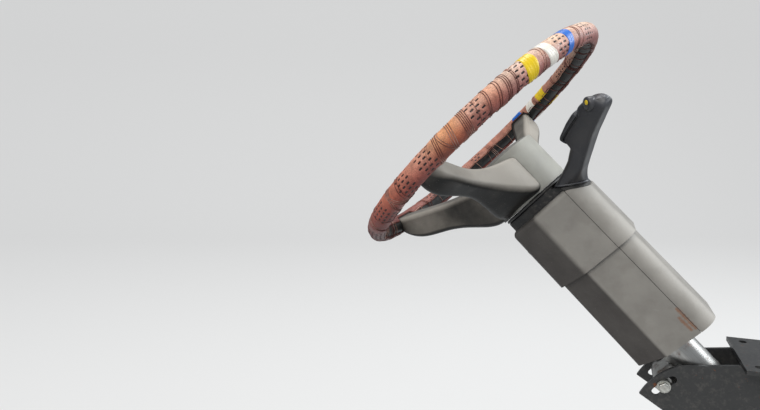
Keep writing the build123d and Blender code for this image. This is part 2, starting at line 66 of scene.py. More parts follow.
def as_way(local):
    """A part-frame direction: up, left and along shares times the column's directions, summed."""
    return local[0] * rim_way + local[1] * left_way + local[2] * shaft_way


def on_column(up, left, along):
    """Part-frame points: the middle plus each millimetre distance times its direction, summed."""
    up, left, along = np.broadcast_arrays(up, left, along)
    steps = up[..., None] * rim_way + left[..., None] * left_way + along[..., None] * shaft_way
    return wheel_middle + steps * MM


print("wheel middle", wheel_middle.round(4), "shaft way", shaft_way.round(4))

# %% [markdown]
# The camera looks up at the wheel from the driver's right. Its place and lens were solved from the rim's
# outline, so the rim, shrouds and lever land where they do in the photograph.

# %% Camera
CAMERA_PLACE = np.array([0.1854, -0.9225, 0.0071])
CAMERA_TURN = 21.13
CAMERA_DIP = 6.752
SENSOR_WIDTH = 36.0
FOCAL_LENGTH = 27.515
scene = bpy.context.scene
lens = bpy.data.cameras.new("camera")
lens.sensor_width = SENSOR_WIDTH
lens.lens = FOCAL_LENGTH
lens.clip_start = 0.05
camera = bpy.data.objects.new("camera", lens)
camera.location = wheel_middle + CAMERA_PLACE
camera.rotation_euler = (math.radians(90.0 - CAMERA_DIP), 0.0, math.radians(CAMERA_TURN))
scene.collection.objects.link(camera)
scene.camera = camera
scene.view_settings.view_transform = "Standard"
print("camera at", [round(v, 3) for v in camera.location])

# %% [markdown]
# A new shape is a grid of points worked out with numpy. The helpers below number the faces of such a grid,
# give each face corner its place on the unrolled surface, and turn a shell whose faces point inwards the
# right way round. The sign of the enclosed volume tells which way they point.

# %% Faces of a grid


def lattice(rows, columns, round_rows=False, round_columns=False):
    """Point numbers and (row, column) steps of each face.

    A face joins a point, its neighbour in the next row, the next of both, and its neighbour in the next
    column. A grid that is round in one way starts again at zero there."""
    i_count = rows if round_rows else rows - 1
    j_count = columns if round_columns else columns - 1
    i, j = (part.ravel() for part in np.meshgrid(np.arange(i_count), np.arange(j_count), indexing="ij"))
    steps = np.array([(i, j), (i + 1, j), (i + 1, j + 1), (i, j + 1)]).transpose(2, 0, 1)
    return (steps[..., 0] % rows) * columns + steps[..., 1] % columns, steps


def end_caps(rows, around):
    """Caps of a tube of rings: the first ring's points in order, and the last ring's backwards."""
    last = rows * around
    return [list(range(around)), list(range(last - 1, last - 1 - around, -1))]


def volume_of(points, faces):
    """Enclosed volume: one sixth of the summed triple products of the two triangles of each face."""
    a, b, c, d = (points[faces[:, k]] for k in range(4))
    return (np.sum(a * np.cross(b, c)) + np.sum(a * np.cross(c, d))) / 6.0


print("a grid of 3 by 3 points has", len(lattice(3, 3)[0]), "faces")

# %% [markdown]
# One function makes every new piece. It builds the mesh, stores the unrolled place and the masks that the
# finishes read, and ties the piece to the body that it moves with.

# %% A piece from points and faces


def make_piece(name, points, faces, body, slot, uv=None, masks=None, caps=()):
    """A smooth piece from points and four-cornered faces, with caps of more corners, riding on a body."""
    points = np.asarray(points, dtype=float).reshape(-1, 3)
    centred = points - points.mean(axis=0)
    turned = volume_of(centred, faces) < 0
    if turned:
        faces = faces[:, ::-1]
        uv = None if uv is None else uv[:, ::-1]
    corners = faces.tolist() + [list(cap)[::-1] if turned else list(cap) for cap in caps]
    mesh = bpy.data.meshes.new(name)
    mesh.from_pydata(points.tolist(), [], corners)
    if uv is not None:
        layer = mesh.uv_layers.new(name="surface")
        flat = np.zeros((len(mesh.loops), 2))
        flat[: uv.shape[0] * 4] = uv.reshape(-1, 2)
        layer.data.foreach_set("uv", flat.ravel())
    for label, values in (masks or {}).items():
        values = np.asarray(values, dtype=float)
        if values.ndim == 1:
            mesh.attributes.new(label, "FLOAT", "POINT").data.foreach_set("value", values)
        else:
            mesh.attributes.new(label, "FLOAT_COLOR", "POINT").data.foreach_set("color", values.ravel())
    mesh.shade_smooth()
    item = bpy.data.objects.new(name, mesh)
    scene.collection.objects.link(item)
    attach(item, body)
    print(name, len(corners), "faces")
    return item


def joined(parts):
    """One set of points, faces and caps from several, each set's numbers moved past those before it."""
    points, faces, caps, count = [], [], [], 0
    for part_points, part_faces, part_caps in parts:
        part_points = np.asarray(part_points).reshape(-1, 3)
        points.append(part_points)
        faces.append(part_faces + count)
        caps += [[number + count for number in cap] for cap in part_caps]
        count += len(part_points)
    return np.concatenate(points), np.concatenate(faces), caps


# %% [markdown]
# Thread, lace, weld beads and the line beside the trigger are all cords: a circle carried along a path. The
# circle stands square to the path, and one of its directions points away from the surface that it lies on.

# %% Ropes


def rope(path, outward, thick, round_path=False, sides=8):
    """A round cord along a path: ring points are the path plus thick * (cos a * outward + sin a * sideways).

    Sideways is the path's direction crossed with the outward direction."""
    if round_path:
        along = np.roll(path, -1, axis=0) - np.roll(path, 1, axis=0)
    else:
        along = np.gradient(path, axis=0)
    along /= np.linalg.norm(along, axis=1, keepdims=True)
    side = np.cross(along, outward)
    side /= np.linalg.norm(side, axis=1, keepdims=True)
    out = np.cross(side, along)
    angle = np.linspace(0, 2 * np.pi, sides, endpoint=False)[None, :, None]
    circle = np.cos(angle) * out[:, None] + np.sin(angle) * side[:, None]
    rings = path[:, None] + thick * circle
    faces, _ = lattice(len(path), sides, round_path, True)
    caps = [] if round_path else end_caps(len(path), sides)
    return rings.reshape(-1, 3), faces, caps


def laid_rope(path, raised, radius, round_path=False, sides=6):
    """A rope of a radius in millimetres whose outward direction runs from its path to the raised path."""
    outward = raised - path
    outward = outward / np.linalg.norm(outward, axis=1, keepdims=True)
    return rope(path, outward, radius * MM, round_path, sides)


# %% [markdown]
# The rim's leather cover is a strip sewn round the rim. It leaves a gap on the inside and back, where the
# black core shows between the lacing. On the real wheel it is old: wound with thread in many places,
# folded, patched with perforated pieces, and held open at the three spokes. Here it is one closed shell
# over a fine grid of turn round the wheel and section round the tube, so each groove, bulge and slot is a
# number added to its radius.

# %% Measures of the rim
RIM_R = 215.0
CORE_R = 12.6
COVER_R = 15.8
COVER_INNER_R = 12.75
LACE_STEP = 7.2
WHEEL_TURN = -14.0
SPOKES = {
    # each spoke's own angle, and half of its opening in the cover, in degrees
    "spoke_left": (90.0, 4.1),
    "spoke_lower": (180.0, 5.9),
    "spoke_right": (270.0, 4.1),
}
SPOKE_EASE = 2.2
spoke_turns = [angle + WHEEL_TURN for angle, _ in SPOKES.values()]
print("spokes at", spoke_turns)


def on_rim(turn, section, radius):
    """Points about the rim's tube, in degrees and millimetres.

    The distance from the shaft is the rim's radius plus radius times the section's cosine, and the distance
    along the shaft is radius times its sine. Turn runs from twelve o'clock to the driver's left."""
    t, s = np.radians(turn), np.radians(section)
    reach = RIM_R + radius * np.cos(s)
    return on_column(reach * np.cos(t), reach * np.sin(t), radius * np.sin(s))


def apart(turn, middle):
    """Degrees from a middle the short way round, from -180 to 180."""
    return (turn - middle + 180.0) % 360.0 - 180.0


def step_up(value, low, high):
    """Smooth step from 0 to 1: three times the square less twice the cube of the share of the way."""
    share = np.clip((value - low) / (high - low), 0.0, 1.0)
    return share * share * (3.0 - 2.0 * share)


# %% [markdown]
# The lace pulls the strip's two edges into a wave, one wave for every two stitches. At a spoke the front
# edge is drawn far back, so that the spoke can pass through the gap.

# %% Edges of the strip
GAP_FRONT = 176.0
GAP_BACK = -98.0
SPOKE_FRONT = 138.0
SPOKE_BACK_SHIFT = 9.0
LACE_PULL = 3.0


def spoke_room(turn):
    """1 where a spoke passes through the cover, 0 away from it."""
    room = np.zeros_like(turn)
    for angle, half in SPOKES.values():
        distance = np.abs(apart(turn, angle + WHEEL_TURN))
        room = np.maximum(room, 1.0 - step_up(distance, half, half + SPOKE_EASE))
    return room


def cover_edges(turn):
    """Front and back edge of the strip in section degrees.

    Each is its plain place plus the pull times the cosine of half a turn per stitch, moved at the spokes."""
    pull = np.cos(2.0 * np.pi * turn / (2.0 * LACE_STEP))
    front = GAP_FRONT + LACE_PULL * pull - (GAP_FRONT - SPOKE_FRONT) * spoke_room(turn)
    back = GAP_BACK + LACE_PULL * pull + SPOKE_BACK_SHIFT * spoke_room(turn)
    return front, back


print("edges at twelve o'clock", [edge.round(1) for edge in cover_edges(np.array(0.0))])

# %% [markdown]
# Where the thread is wound, and where the leather is perforated, is read off the photograph, as
# degrees round the wheel. The stretches that it doesn't show, on the far side and at the bottom, go on in
# the same way.

# %% What is where round the rim
WINDINGS = (
    # middle, turns of thread, degrees between them, slant in degrees
    (16.0, 2, 0.9, 1.2), (31.0, 3, 0.8, -0.8), (47.0, 2, 0.9, 1.4), (62.5, 2, 0.7, 0.8),
    (98.0, 3, 0.8, 1.0), (113.0, 2, 0.9, -1.6), (129.0, 4, 0.8, 0.9), (147.0, 2, 0.8, 1.5),
    (183.0, 3, 0.8, -1.2), (199.0, 2, 0.9, 1.0), (221.0, 2, 0.8, 1.4), (228.5, 1, 0.8, -1.2),
    (239.6, 2, 0.9, 2.4), (242.5, 3, 0.8, -1.6), (246.4, 2, 1.3, 1.2), (261.6, 2, 0.9, 2.6),
    (266.4, 3, 0.7, 1.6), (270.6, 2, 0.75, -1.4), (272.6, 3, 0.75, 1.4), (278.6, 5, 0.62, 0.9),
    (283.3, 1, 1.0, 1.0), (287.4, 2, 0.7, 1.6), (291.6, 2, 0.9, 1.8), (295.4, 3, 0.7, 1.2),
    (298.6, 2, 0.6, 1.0), (311.0, 2, 1.0, 1.2), (331.0, 2, 0.9, 1.4), (334.6, 1, 1.0, 1.0),
)
PERFORATED = (
    # from, to
    (25.0, 42.0), (104.0, 110.0), (118.0, 126.0), (136.0, 144.0), (203.0, 216.0), (227.0, 237.0),
    (247.0, 254.0), (258.0, 264.5), (280.5, 286.6), (299.5, 306.6), (318.8, 323.6), (336.5, 345.0),
)
FOLDS = (
    # middle, height in millimetres, width in degrees
    (347.0, 1.2, 0.9), (350.4, 1.7, 0.9), (353.8, 1.9, 0.9), (357.2, 1.9, 1.0), (1.4, 1.7, 1.1),
    (6.5, 1.4, 1.1), (296.8, 0.6, 0.9), (300.0, 0.5, 0.7), (316.0, 0.6, 1.0), (327.0, 0.5, 0.9),
    (53.0, 0.7, 1.2), (120.0, 0.6, 1.2), (208.0, 0.5, 1.2),
)
print("windings", len(WINDINGS), "perforated patches", len(PERFORATED), "folds", len(FOLDS))

# %% [markdown]
# The perforated pieces have rows of short slots, each row half a pitch on from the last, like bricks. The
# pattern is a formula on the unrolled surface, so the same numbers can dent the mesh here and darken the
# slots in the leather's finish further down.

# %% Slots and grooves
SLOT_PITCH = 2.27
ROW_PITCH = 24.5
SLOT_HALF = 0.70
SLOT_END = 0.25
SLOT_END_WIDTH = 0.30
SLOT_ROUND = 6.0
SLOT_DEPTH = 0.7
PRESS = 0.42
PRESS_WIDTH = 0.26
SLANT_START = 40.0


def slot_cells(turn, section):
    """Places inside the slot pattern: degrees from the slot's middle along the rim and round the tube.

    Every second row is moved on by half a pitch. The third value is 1 where a cell's middle is perforated."""
    row = np.floor(section / ROW_PITCH)
    moved = turn / SLOT_PITCH + 0.5 * (row % 2)
    along = (moved - np.floor(moved) - 0.5) * SLOT_PITCH
    across = section - (row + 0.5) * ROW_PITCH
    middle = turn - along
    inside = np.zeros_like(along)
    for low, high in PERFORATED:
        inside = np.maximum(inside, (middle > low) & (middle < high))
    return along, across, inside


def groove(turn, section):
    """Depth in millimetres that the windings press into the leather: a narrow bell round each thread."""
    deep = np.zeros(np.broadcast(turn, section).shape)
    for middle, count, pitch, slant in WINDINGS:
        line = middle + slant * np.sin(np.radians(section + SLANT_START))
        for k in range(count):
            gap = apart(turn, line + (k - (count - 1) / 2.0) * pitch)
            deep = np.maximum(deep, PRESS * np.exp(-((gap / PRESS_WIDTH) ** 2)))
    return deep


def leather_radius(turn, section):
    """Outer radius of the leather: plain radius plus bulges and folds, less the thread's grooves.

    The bulges are three sines of the turn, each finer and lower than the last. A fold is a bell across a
    line that sways with the section, and it is highest on the side towards the driver."""
    bulge = 0.16 * np.sin(turn * 0.61 + 0.9 * np.sin(np.radians(section)))
    bulge = bulge + 0.10 * np.sin(turn * 1.93 + np.radians(section) * 2.0)
    bulge = bulge + 0.06 * np.sin(turn * 5.3 + 1.7 * np.sin(turn * 0.7) + np.radians(section) * 3.0)
    facing = 0.55 + 0.45 * np.cos(np.radians(section - 60.0))
    for middle, height, width in FOLDS:
        line = middle + 1.6 * np.sin(np.radians(section * 0.8 + middle * 7.0))
        gap = apart(turn, line) / width
        bulge = bulge + height * np.exp(-gap * gap * 2.0) * facing
    return COVER_R + bulge * 0.8 - groove(turn, section)


def cover_radius(turn, section):
    """The leather's radius with the dents of its slots taken off."""
    along, across, inside = slot_cells(turn, section)
    past = np.maximum(np.abs(along) - SLOT_HALF + SLOT_END, 0.0) / SLOT_END_WIDTH
    slot = inside * (1.0 - step_up(np.hypot(past, across / SLOT_ROUND), 0.55, 1.25))
    return leather_radius(turn, section) - SLOT_DEPTH * slot


print("leather radius at twelve o'clock", leather_radius(np.array(0.0), np.array(0.0)).round(2))

# %% [markdown]
# The leather is paler along the top of the rim, orange-brown on the driver's right, and dark red at
# the bottom. A short table of tones, with a painted highlight near 270 degrees, is blended round the wheel.
# The underside is darker and redder, partly painted shade and partly dirt, which comes from raising the
# shade to another power for each of the three colours.

# %% Leather tones
LEATHER_TONES_AND_PAINTED_HIGHLIGHT = (
    # turn, then red, green and blue from 0 to 255
    (0, 204, 182, 160), (12, 186, 160, 140), (24, 184, 142, 122), (60, 190, 134, 114), (110, 196, 134, 114),
    (150, 146, 88, 78), (180, 100, 50, 50), (210, 112, 56, 56), (226, 176, 92, 76), (242, 214, 128, 102),
    # the rows at 269 and 275 degrees are lighter with a painted highlight
    (254, 226, 152, 128), (262, 230, 166, 142), (269, 248, 184, 134), (275, 246, 174, 124),
    (282, 234, 180, 158), (291, 246, 188, 154), (297, 248, 212, 190), (303, 246, 210, 190),
    (312, 244, 212, 186), (325, 234, 196, 168), (336, 238, 208, 186), (348, 226, 202, 180),
)
UNDERSIDE_DIRT_AND_PAINTED_SHADE = 0.62
PATCH_SHADE = 0.08
SHADE_POWERS = np.array([0.9, 1.55, 1.4])


def linear(values):
    """Seen colours from 0 to 255 as the linear light that shaders use: the share to the power 2.2."""
    return (np.asarray(values, dtype=float) / 255.0) ** 2.2


def tone_at(turn):
    """Leather colour round the rim, blended between the table's rows."""
    table = np.array(LEATHER_TONES_AND_PAINTED_HIGHLIGHT, dtype=float)
    tones = linear(table[:, 1:])
    channels = [np.interp(turn % 360.0, table[:, 0], tones[:, k], period=360.0) for k in range(3)]
    return np.stack(channels + [np.ones_like(channels[0])], axis=-1)


def tone_with_painted_shade(turn, section):
    """The tone times a shade to each colour's power: one less the underside's painted shade and dirt, and faint
    patches.
    """
    tones = tone_at(turn)
    # painted shade and dirt on the underside of the tube
    shade = 1.0 - UNDERSIDE_DIRT_AND_PAINTED_SHADE * step_up(-section, -40.0, 70.0)
    shade = shade - PATCH_SHADE * np.sin(np.radians(turn * 9.0)) ** 2
    tones[..., :3] *= shade[..., None] ** SHADE_POWERS
    return tones


print("tones", len(LEATHER_TONES_AND_PAINTED_HIGHLIGHT))

# %% [markdown]
# The cover's cross-section runs over the outside of the leather from the back edge to the front, turns down
# at a rounded edge, and comes back along the core. Carried once round the wheel, it closes on itself.

# %% Leather cover
TURNS = 1440
SECTIONS = 60
BEDS = 3
ROUNDED_EDGE = (1.2, 0.35)


def strip_shell(turn, front, back, outer, inner_radius):
    """Closed shell over the strip: outer columns from the back edge to the front, then inner ones back.

    The outer radius runs down to a rounded edge over the last two columns on either side."""
    share = np.linspace(0.0, 1.0, SECTIONS)
    section = back[:, None] + (front - back)[:, None] * share[None, :]
    edge = np.minimum(np.arange(SECTIONS), np.arange(SECTIONS)[::-1])
    rounding = np.select([edge == 0, edge == 1], ROUNDED_EDGE, 0.0)
    radius = outer(turn[:, None], section) - rounding[None, :]
    bed_share = np.linspace(1.0, 0.0, BEDS)
    bed_section = back[:, None] + (front - back)[:, None] * bed_share[None, :]
    sections = np.concatenate([section, bed_section], axis=1)
    radii = np.concatenate([radius, np.full(bed_section.shape, inner_radius)], axis=1)
    return sections, radii


cover_turn = np.arange(TURNS) * 360.0 / TURNS
front_edge, back_edge = cover_edges(cover_turn)
sections, radii = strip_shell(cover_turn, front_edge, back_edge, cover_radius, COVER_INNER_R)
turn_grid = np.repeat(cover_turn[:, None], sections.shape[1], axis=1)
cover_points = on_rim(turn_grid, sections, radii)
cover_faces, cover_steps = lattice(TURNS, sections.shape[1], True, True)
cover_uv = np.stack([cover_steps[..., 0] * (360.0 / TURNS), sections.ravel()[cover_faces]], -1)
cover_masks = {
    "tone": tone_with_painted_shade(turn_grid, sections).reshape(-1, 4),
    "perforated": slot_cells(turn_grid, sections)[2].ravel(),
    "groove_shade": groove(turn_grid, sections).ravel(),
}
rim_cover = make_piece(
    "cover_leather", cover_points, cover_faces, "wheel", "cover_leather", cover_uv, cover_masks
)
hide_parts("rim_cover")

# %% [markdown]
# The yellow, white and blue bands are strips of coloured leather glued over the cover. Each is a short
# stretch of the same shell, a little larger, with wavy ends. Its two ends are closed by the faces that join
# the outer skin to the inner one.

# %% Coloured bands
BANDS = (
    # name, middle and width on the driver's right, then on the left, in degrees, and slant
    ("band_yellow", 319.7, 4.8, 71.6, 6.5, 1.0),
    ("band_white", 328.8, 4.0, 80.6, 5.0, -0.6),
    ("band_blue", 339.8, 3.8, 89.4, 6.0, 1.2),
)
BAND_PROUD = 0.55
BAND_BED_R = COVER_R - 0.4
BAND_STEPS = 40
BAND_WAVE = 0.22
BAND_END = 0.07


def band_part(middle, width, slant):
    """Points, faces, caps and unrolled places of one band.

    Its turn runs between two wavy ends: middle and half width plus small sines of the section."""
    middle = middle + WHEEL_TURN
    share = np.linspace(-0.5, 0.5, BAND_STEPS)
    turn = middle + share * width
    front, back = cover_edges(turn)
    section, radius = strip_shell(turn, front, back, leather_radius, BAND_BED_R)
    lean = slant * np.sin(np.radians(section + 20.0))
    wave = BAND_WAVE * np.sin(np.radians(section * 2.3 + middle * 11.0)) * np.sign(share)[:, None]
    turns = turn[:, None] + lean + wave
    ends = step_up(0.5 - np.abs(share), 0.0, BAND_END)[:, None]
    outer = radius + BAND_PROUD * ends
    outer[:, SECTIONS:] = BAND_BED_R
    points = on_rim(turns, section, outer).reshape(-1, 3)
    columns = section.shape[1]
    faces, _ = lattice(BAND_STEPS, columns, False, True)
    caps = [cap[::-1] for cap in end_caps(BAND_STEPS, columns)]
    places = np.stack([turns, section], axis=-1).reshape(-1, 2)
    return points, faces, caps, places


for name, near, near_width, far, far_width, slant in BANDS:
    near_part = band_part(near, near_width, slant)
    far_part = band_part(far, far_width, slant)
    points, faces, caps = joined([near_part[:3], far_part[:3]])
    places = np.concatenate([near_part[3], far_part[3]])
    band = make_piece(name + "_leather", points, faces, "wheel", name, places[faces], caps=caps)
    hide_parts(name)

# %% [markdown]
# Waxed thread is wound tight over the cover, in groups of one to five turns, and crosses the open gap on
# the core. It lies on the surface that it crosses, so its radius is that surface's plus its own.

# %% Thread windings
THREAD_R = 0.42
WIND_STEPS = 150
THREAD_SWAY = 0.05
OVER_COVER = 0.1


def resting_radius(turn, section):
    """Radius of what lies under a thread: the cover between its edges, and the core in the gap."""
    front, back = cover_edges(turn)
    wrapped = (section + 180.0) % 360.0 - 180.0
    beyond = np.maximum(wrapped - front, back - wrapped)
    over = 1.0 - step_up(beyond, -2.0, 7.0)
    return CORE_R + (cover_radius(turn, wrapped) + OVER_COVER - CORE_R) * over


def wound_thread(middle, slant, phase):
    """One turn of thread: the section goes all the way round while the turn sways by the slant's sine."""
    section = np.linspace(-180.0, 180.0, WIND_STEPS, endpoint=False)
    turn = middle + slant * np.sin(np.radians(section + SLANT_START))
    turn = turn + THREAD_SWAY * np.sin(np.radians(section * 3.0 + phase))
    radius = resting_radius(turn, section) + THREAD_R
    return laid_rope(on_rim(turn, section, radius), on_rim(turn, section, radius + 1.0), THREAD_R, True)


threads = []
for middle, count, pitch, slant in WINDINGS:
    for k in range(count):
        place = middle + (k - (count - 1) / 2.0) * pitch
        if spoke_room(np.array([place]))[0] < 0.01:
            threads.append(wound_thread(place, slant, 70.0 * k))
make_piece("cover_thread", *joined(threads)[:2], "wheel", "cover_leather")

# %% [markdown]
# A thinner lace holds the strip's two edges together: it runs along one edge, crosses to the other, and
# runs along that. Between two spokes it is one cord, which ends just short of each.

# %% Lacing
LACE_R = 0.5
LACE_SUNK = 0.7
LACE_INSET = 7.0
LACE_DETAIL = 0.18
LACE_MARGIN = 7.5


def lace_path(start, stop):
    """Lace between two spokes: a square wave with rounded corners between two lines inside the edges."""
    turn = np.linspace(start, stop, int((stop - start) / LACE_DETAIL))
    wave = np.clip(3.2 * np.sin(np.pi * turn / LACE_STEP), -1.0, 1.0)
    wave = np.sign(wave) * (1.0 - (1.0 - np.abs(wave)) ** 1.6)
    front, back = cover_edges(turn)
    low, high = front - LACE_INSET, back + (360.0 + LACE_INSET)
    section = (low + high) / 2.0 + wave * (high - low) / 2.0
    radius = resting_radius(turn, section) + LACE_R * LACE_SUNK
    return laid_rope(on_rim(turn, section, radius), on_rim(turn, section, radius + 1.0), LACE_R)


laces = []
for here, following in zip(spoke_turns, spoke_turns[1:] + [spoke_turns[0] + 360.0]):
    laces.append(lace_path(here + LACE_MARGIN, following - LACE_MARGIN))
points, faces, caps = joined(laces)
make_piece("cover_lace", points, faces, "wheel", "cover_leather", caps=caps)

# %% [markdown]
# Small round parts such as nuts, screws and buttons are profiles turned round an axis. A hexagon is the
# same turning with a radius that depends on the angle. Each needs a place and an axis, and those come from
# the column's directions, so a nut sits flat on what it holds.

# %% Turned parts
HEXAGON = 6


def turned_part(place, axis, profile, flats=0, around=48):
    """A profile of (radius, height) pairs in millimetres turned round an axis, closed at its two poles.

    For a hexagon the radius is divided by the cosine of the angle from the nearest flat's middle."""
    axis = np.asarray(axis, dtype=float)
    axis = axis / np.linalg.norm(axis)
    side = np.cross(axis, [0.31, 0.92, 0.21])
    side /= np.linalg.norm(side)
    third = np.cross(axis, side)
    angle = np.linspace(0, 2 * np.pi, around, endpoint=False)
    stretch = np.ones_like(angle)
    if flats:
        half = np.pi / flats
        stretch = 1.0 / np.cos((angle + half) % (2 * half) - half)
    ring = np.cos(angle)[:, None] * side + np.sin(angle)[:, None] * third
    rows = []
    for radius, height in profile:
        rows.append(np.asarray(place) + (radius * stretch[:, None] * ring + height * axis) * MM)
    faces, _ = lattice(len(profile), around, False, True)
    return np.concatenate(rows), faces, end_caps(len(profile), around)


def nut_profile(flats, thick):
    """Profile of a nut with its top edge chamfered: half the flats' width as radius."""
    half = flats / 2.0
    inner = half * 0.5
    bevel = [(half, thick * 0.82), (half * 0.93, thick)]
    return [(inner, 0.0), (half, 0.0), (half, 0.05)] + bevel + [(inner, thick)]


def screw_profile(radius, height):
    """Profile of a pan head with a socket in its middle."""
    return [
        (radius * 0.3, 0.0), (radius, 0.0), (radius, height * 0.45), (radius * 0.9, height * 0.85),
        (radius * 0.72, height), (radius * 0.42, height), (radius * 0.40, height * 0.95),
        (radius * 0.38, height * 0.35),
    ]


def make_turned(name, parts, body, slot):
    """A piece of several turned parts."""
    points, faces, caps = joined(parts)
    return make_piece(name, points, faces, body, slot, caps=caps)


# %% [markdown]
# The column swings on a pin through the bracket's cheeks and is held by a clamp bolt in their arc slots. A
# nut on either side keeps each in its place. A smaller bolt draws the collar of the sliding tube together.

# %% Nuts and bolts of the bracket and clamp
PIVOT = np.array(joints["tilt"]["pos_m"])
NUT_FLATS = 13.0
PIVOT_NUT_OUT = 43.5
CLAMP_PLACE = (-46.0, 44.8, -440.0)
COLLAR_UP = -38.0
COLLAR_STATION = -271.0
COLLAR_SHANK = [(0.5, 0.0), (2.5, 0.0), (2.5, 18.0), (0.5, 18.0)]

pivot_nuts = []
for side in (-1, 1):
    place = PIVOT + side * PIVOT_NUT_OUT * MM * left_way
    pivot_nuts.append(turned_part(place, side * left_way, nut_profile(NUT_FLATS, 5.0), HEXAGON))
make_turned("pivot_nuts", pivot_nuts, "bracket", "zinc_steel")

clamp_nuts = []
for side in (-1.0, 1.0):
    place = on_column(CLAMP_PLACE[0], side * CLAMP_PLACE[1], CLAMP_PLACE[2])
    clamp_nuts.append(turned_part(place, side * left_way, nut_profile(NUT_FLATS, 6.0), HEXAGON))
make_turned("clamp_nuts", clamp_nuts, "column", "zinc_steel")

collar_bolt = []
for side, head, flats in ((-1.0, screw_profile(5.0, 4.0), 0), (1.0, nut_profile(8.0, 4.0), HEXAGON)):
    place = on_column(COLLAR_UP, side * 10.0, COLLAR_STATION)
    collar_bolt.append(turned_part(place, side * left_way, head, flats))
collar_bolt.append(turned_part(on_column(COLLAR_UP, -9.0, COLLAR_STATION), left_way, COLLAR_SHANK))
make_turned("slide_clamp_bolt", collar_bolt, "column", "zinc_steel")

# %% [markdown]
# The shroud halves are screwed together from below. The two screws of the upper shroud sit side by side and
# flush in their holes, and those of the lower shroud stand one behind the other and a little proud.

# %% Screws of the shrouds
SCREW_R = 4.2
lower_screws = []
for station in (-330.0, -385.0):
    place = on_column(-57.0, 0.0, station)
    lower_screws.append(turned_part(place, -rim_way, screw_profile(SCREW_R, 1.8)))
make_turned("lower_shroud_screws", lower_screws, "column", "zinc_steel")

upper_screws = []
for across in (-16.0, 16.0):
    place = on_column(-62.0, across, -180.0)
    upper_screws.append(turned_part(place, -rim_way, screw_profile(SCREW_R, 0.5)))
make_turned("upper_shroud_screws", upper_screws, "telescope", "zinc_steel")

# %% [markdown]
# The pad in the middle of the wheel is a shallow dome that hardly stands above the hub. The solids carry a
# deeper one, so this turned dome takes its place. Behind the hub a black rubber ring closes the gap to the
# switch housing, and its black is painted shade for that gap.

# %% Pad and gap shade ring
PAD_DOME = (
    # radius, distance along the shaft
    (0.5, -37.6), (10.0, -37.7), (20.0, -38.2), (30.0, -39.0), (40.0, -40.3), (48.0, -41.8), (53.0, -43.1),
    (55.6, -44.4), (56.6, -45.8), (56.6, -48.0), (40.0, -48.5), (0.5, -48.5),
)
SEAL = (
    # the same, round a closed ring
    (28.0, -126.98), (56.6, -126.98), (57.2, -126.4), (57.2, -125.2), (56.6, -123.4), (55.4, -122.6),
    (53.8, -122.5), (53.0, -123.4), (51.5, -124.6), (28.0, -124.8),
)
FINE_ROUND = 96
pad_dome = turned_part(wheel_middle, shaft_way, PAD_DOME, around=FINE_ROUND)
pad = make_turned("pad_dome", [pad_dome], "wheel", "pad_grey")
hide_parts("horn_pad")
ring_points, ring_faces, _ = turned_part(wheel_middle, shaft_way, SEAL + SEAL[:1], around=FINE_ROUND)
make_piece("dust_seal", ring_points, ring_faces, "telescope", "boot_rubber")

# %% [markdown]
# Moulded halves never meet without a gap. Dark rubber strips lie in the seams between the shroud halves,
# just under their skin, as painted shade where light would otherwise shine through. Each is a flat bar with
# eight corners.

# %% Seam strips
SEAM_UP = 45.0
SEAM_HALF = 0.38
STRIP_DEPTHS = (0.7, 1.9)
STRIPS = (
    # name, body, the shroud's half width, front and back along the shaft
    ("lower_seam_strips", "column", 58.0, -208.0, -403.5),
    ("upper_seam_strips", "telescope", 63.0, -147.0, -249.0),
)


def seam_shade_strip(side, half_width, front, back):
    """A dark flat bar in the seam, as painted shade: its outer face lies a little under the shroud's own."""
    shallow, deep = STRIP_DEPTHS
    corners = []
    for along in (back, front):
        for up, under in ((-1, deep), (-1, shallow), (1, shallow), (1, deep)):
            corners.append(on_column(SEAM_UP + up * SEAM_HALF, side * (half_width - under), along))
    faces = np.array([(0, 1, 5, 4), (1, 2, 6, 5), (2, 3, 7, 6), (3, 0, 4, 7), (3, 2, 1, 0), (4, 5, 6, 7)])
    return np.array(corners), faces, []


for name, body, half_width, front, back in STRIPS:
    points, faces, _ = joined([seam_shade_strip(side, half_width, front, back) for side in (-1, 1)])
    make_piece(name, points, faces, body, "boot_rubber").data.shade_flat()

# %% [markdown]
# The lever is a slender hand grip that leans to the driver's right. Its shapes are stacks of rings square
# to one straight line from its foot to its tip. Each ring is a superellipse between two outlines, so a
# table of a few depths draws the whole lever, and its skin stays smooth where the solids have flat facets.

# %% Lever directions
LEVER_FOOT = np.array([60.0, -53.0, -140.5])
LEVER_TIP = np.array([164.5, -153.0, -91.0])
lever_run = LEVER_TIP - LEVER_FOOT
lever_along = lever_run / np.linalg.norm(lever_run)
lever_across = np.cross([0.0, 0.0, 1.0], lever_along)
lever_across /= np.linalg.norm(lever_across)
lever_deep = np.cross(lever_along, lever_across)
print("lever length", round(float(np.linalg.norm(lever_run)), 1), "mm")


def on_lever(share, across, deep):
    """Part-frame points beside the lever's line: foot plus share of the run, plus the two distances."""
    share, across, deep = (part[..., None] for part in np.broadcast_arrays(share, across, deep))
    local = LEVER_FOOT + share * lever_run + across * lever_across + deep * lever_deep
    return on_column(local[..., 0], local[..., 1], local[..., 2])


# %% [markdown]
# The grip and the trigger differ only in their outlines, so one function stacks the rings of both. The
# power gives a ring its corners: at one it is an ellipse, and a lower power leaves it squarer, as moulded
# handles are.

# %% Rings of the lever


def section_ring(width, depth, power, around=56):
    """Superellipse offsets: half width times cosine to a power, half depth times sine to it, signs kept."""
    angle = np.linspace(0, 2 * np.pi, around, endpoint=False)
    c, s = np.cos(angle), np.sin(angle)
    across = np.sign(c) * np.abs(c) ** power * np.asarray(width)[..., None]
    deep = np.sign(s) * np.abs(s) ** power * np.asarray(depth)[..., None]
    return across, deep


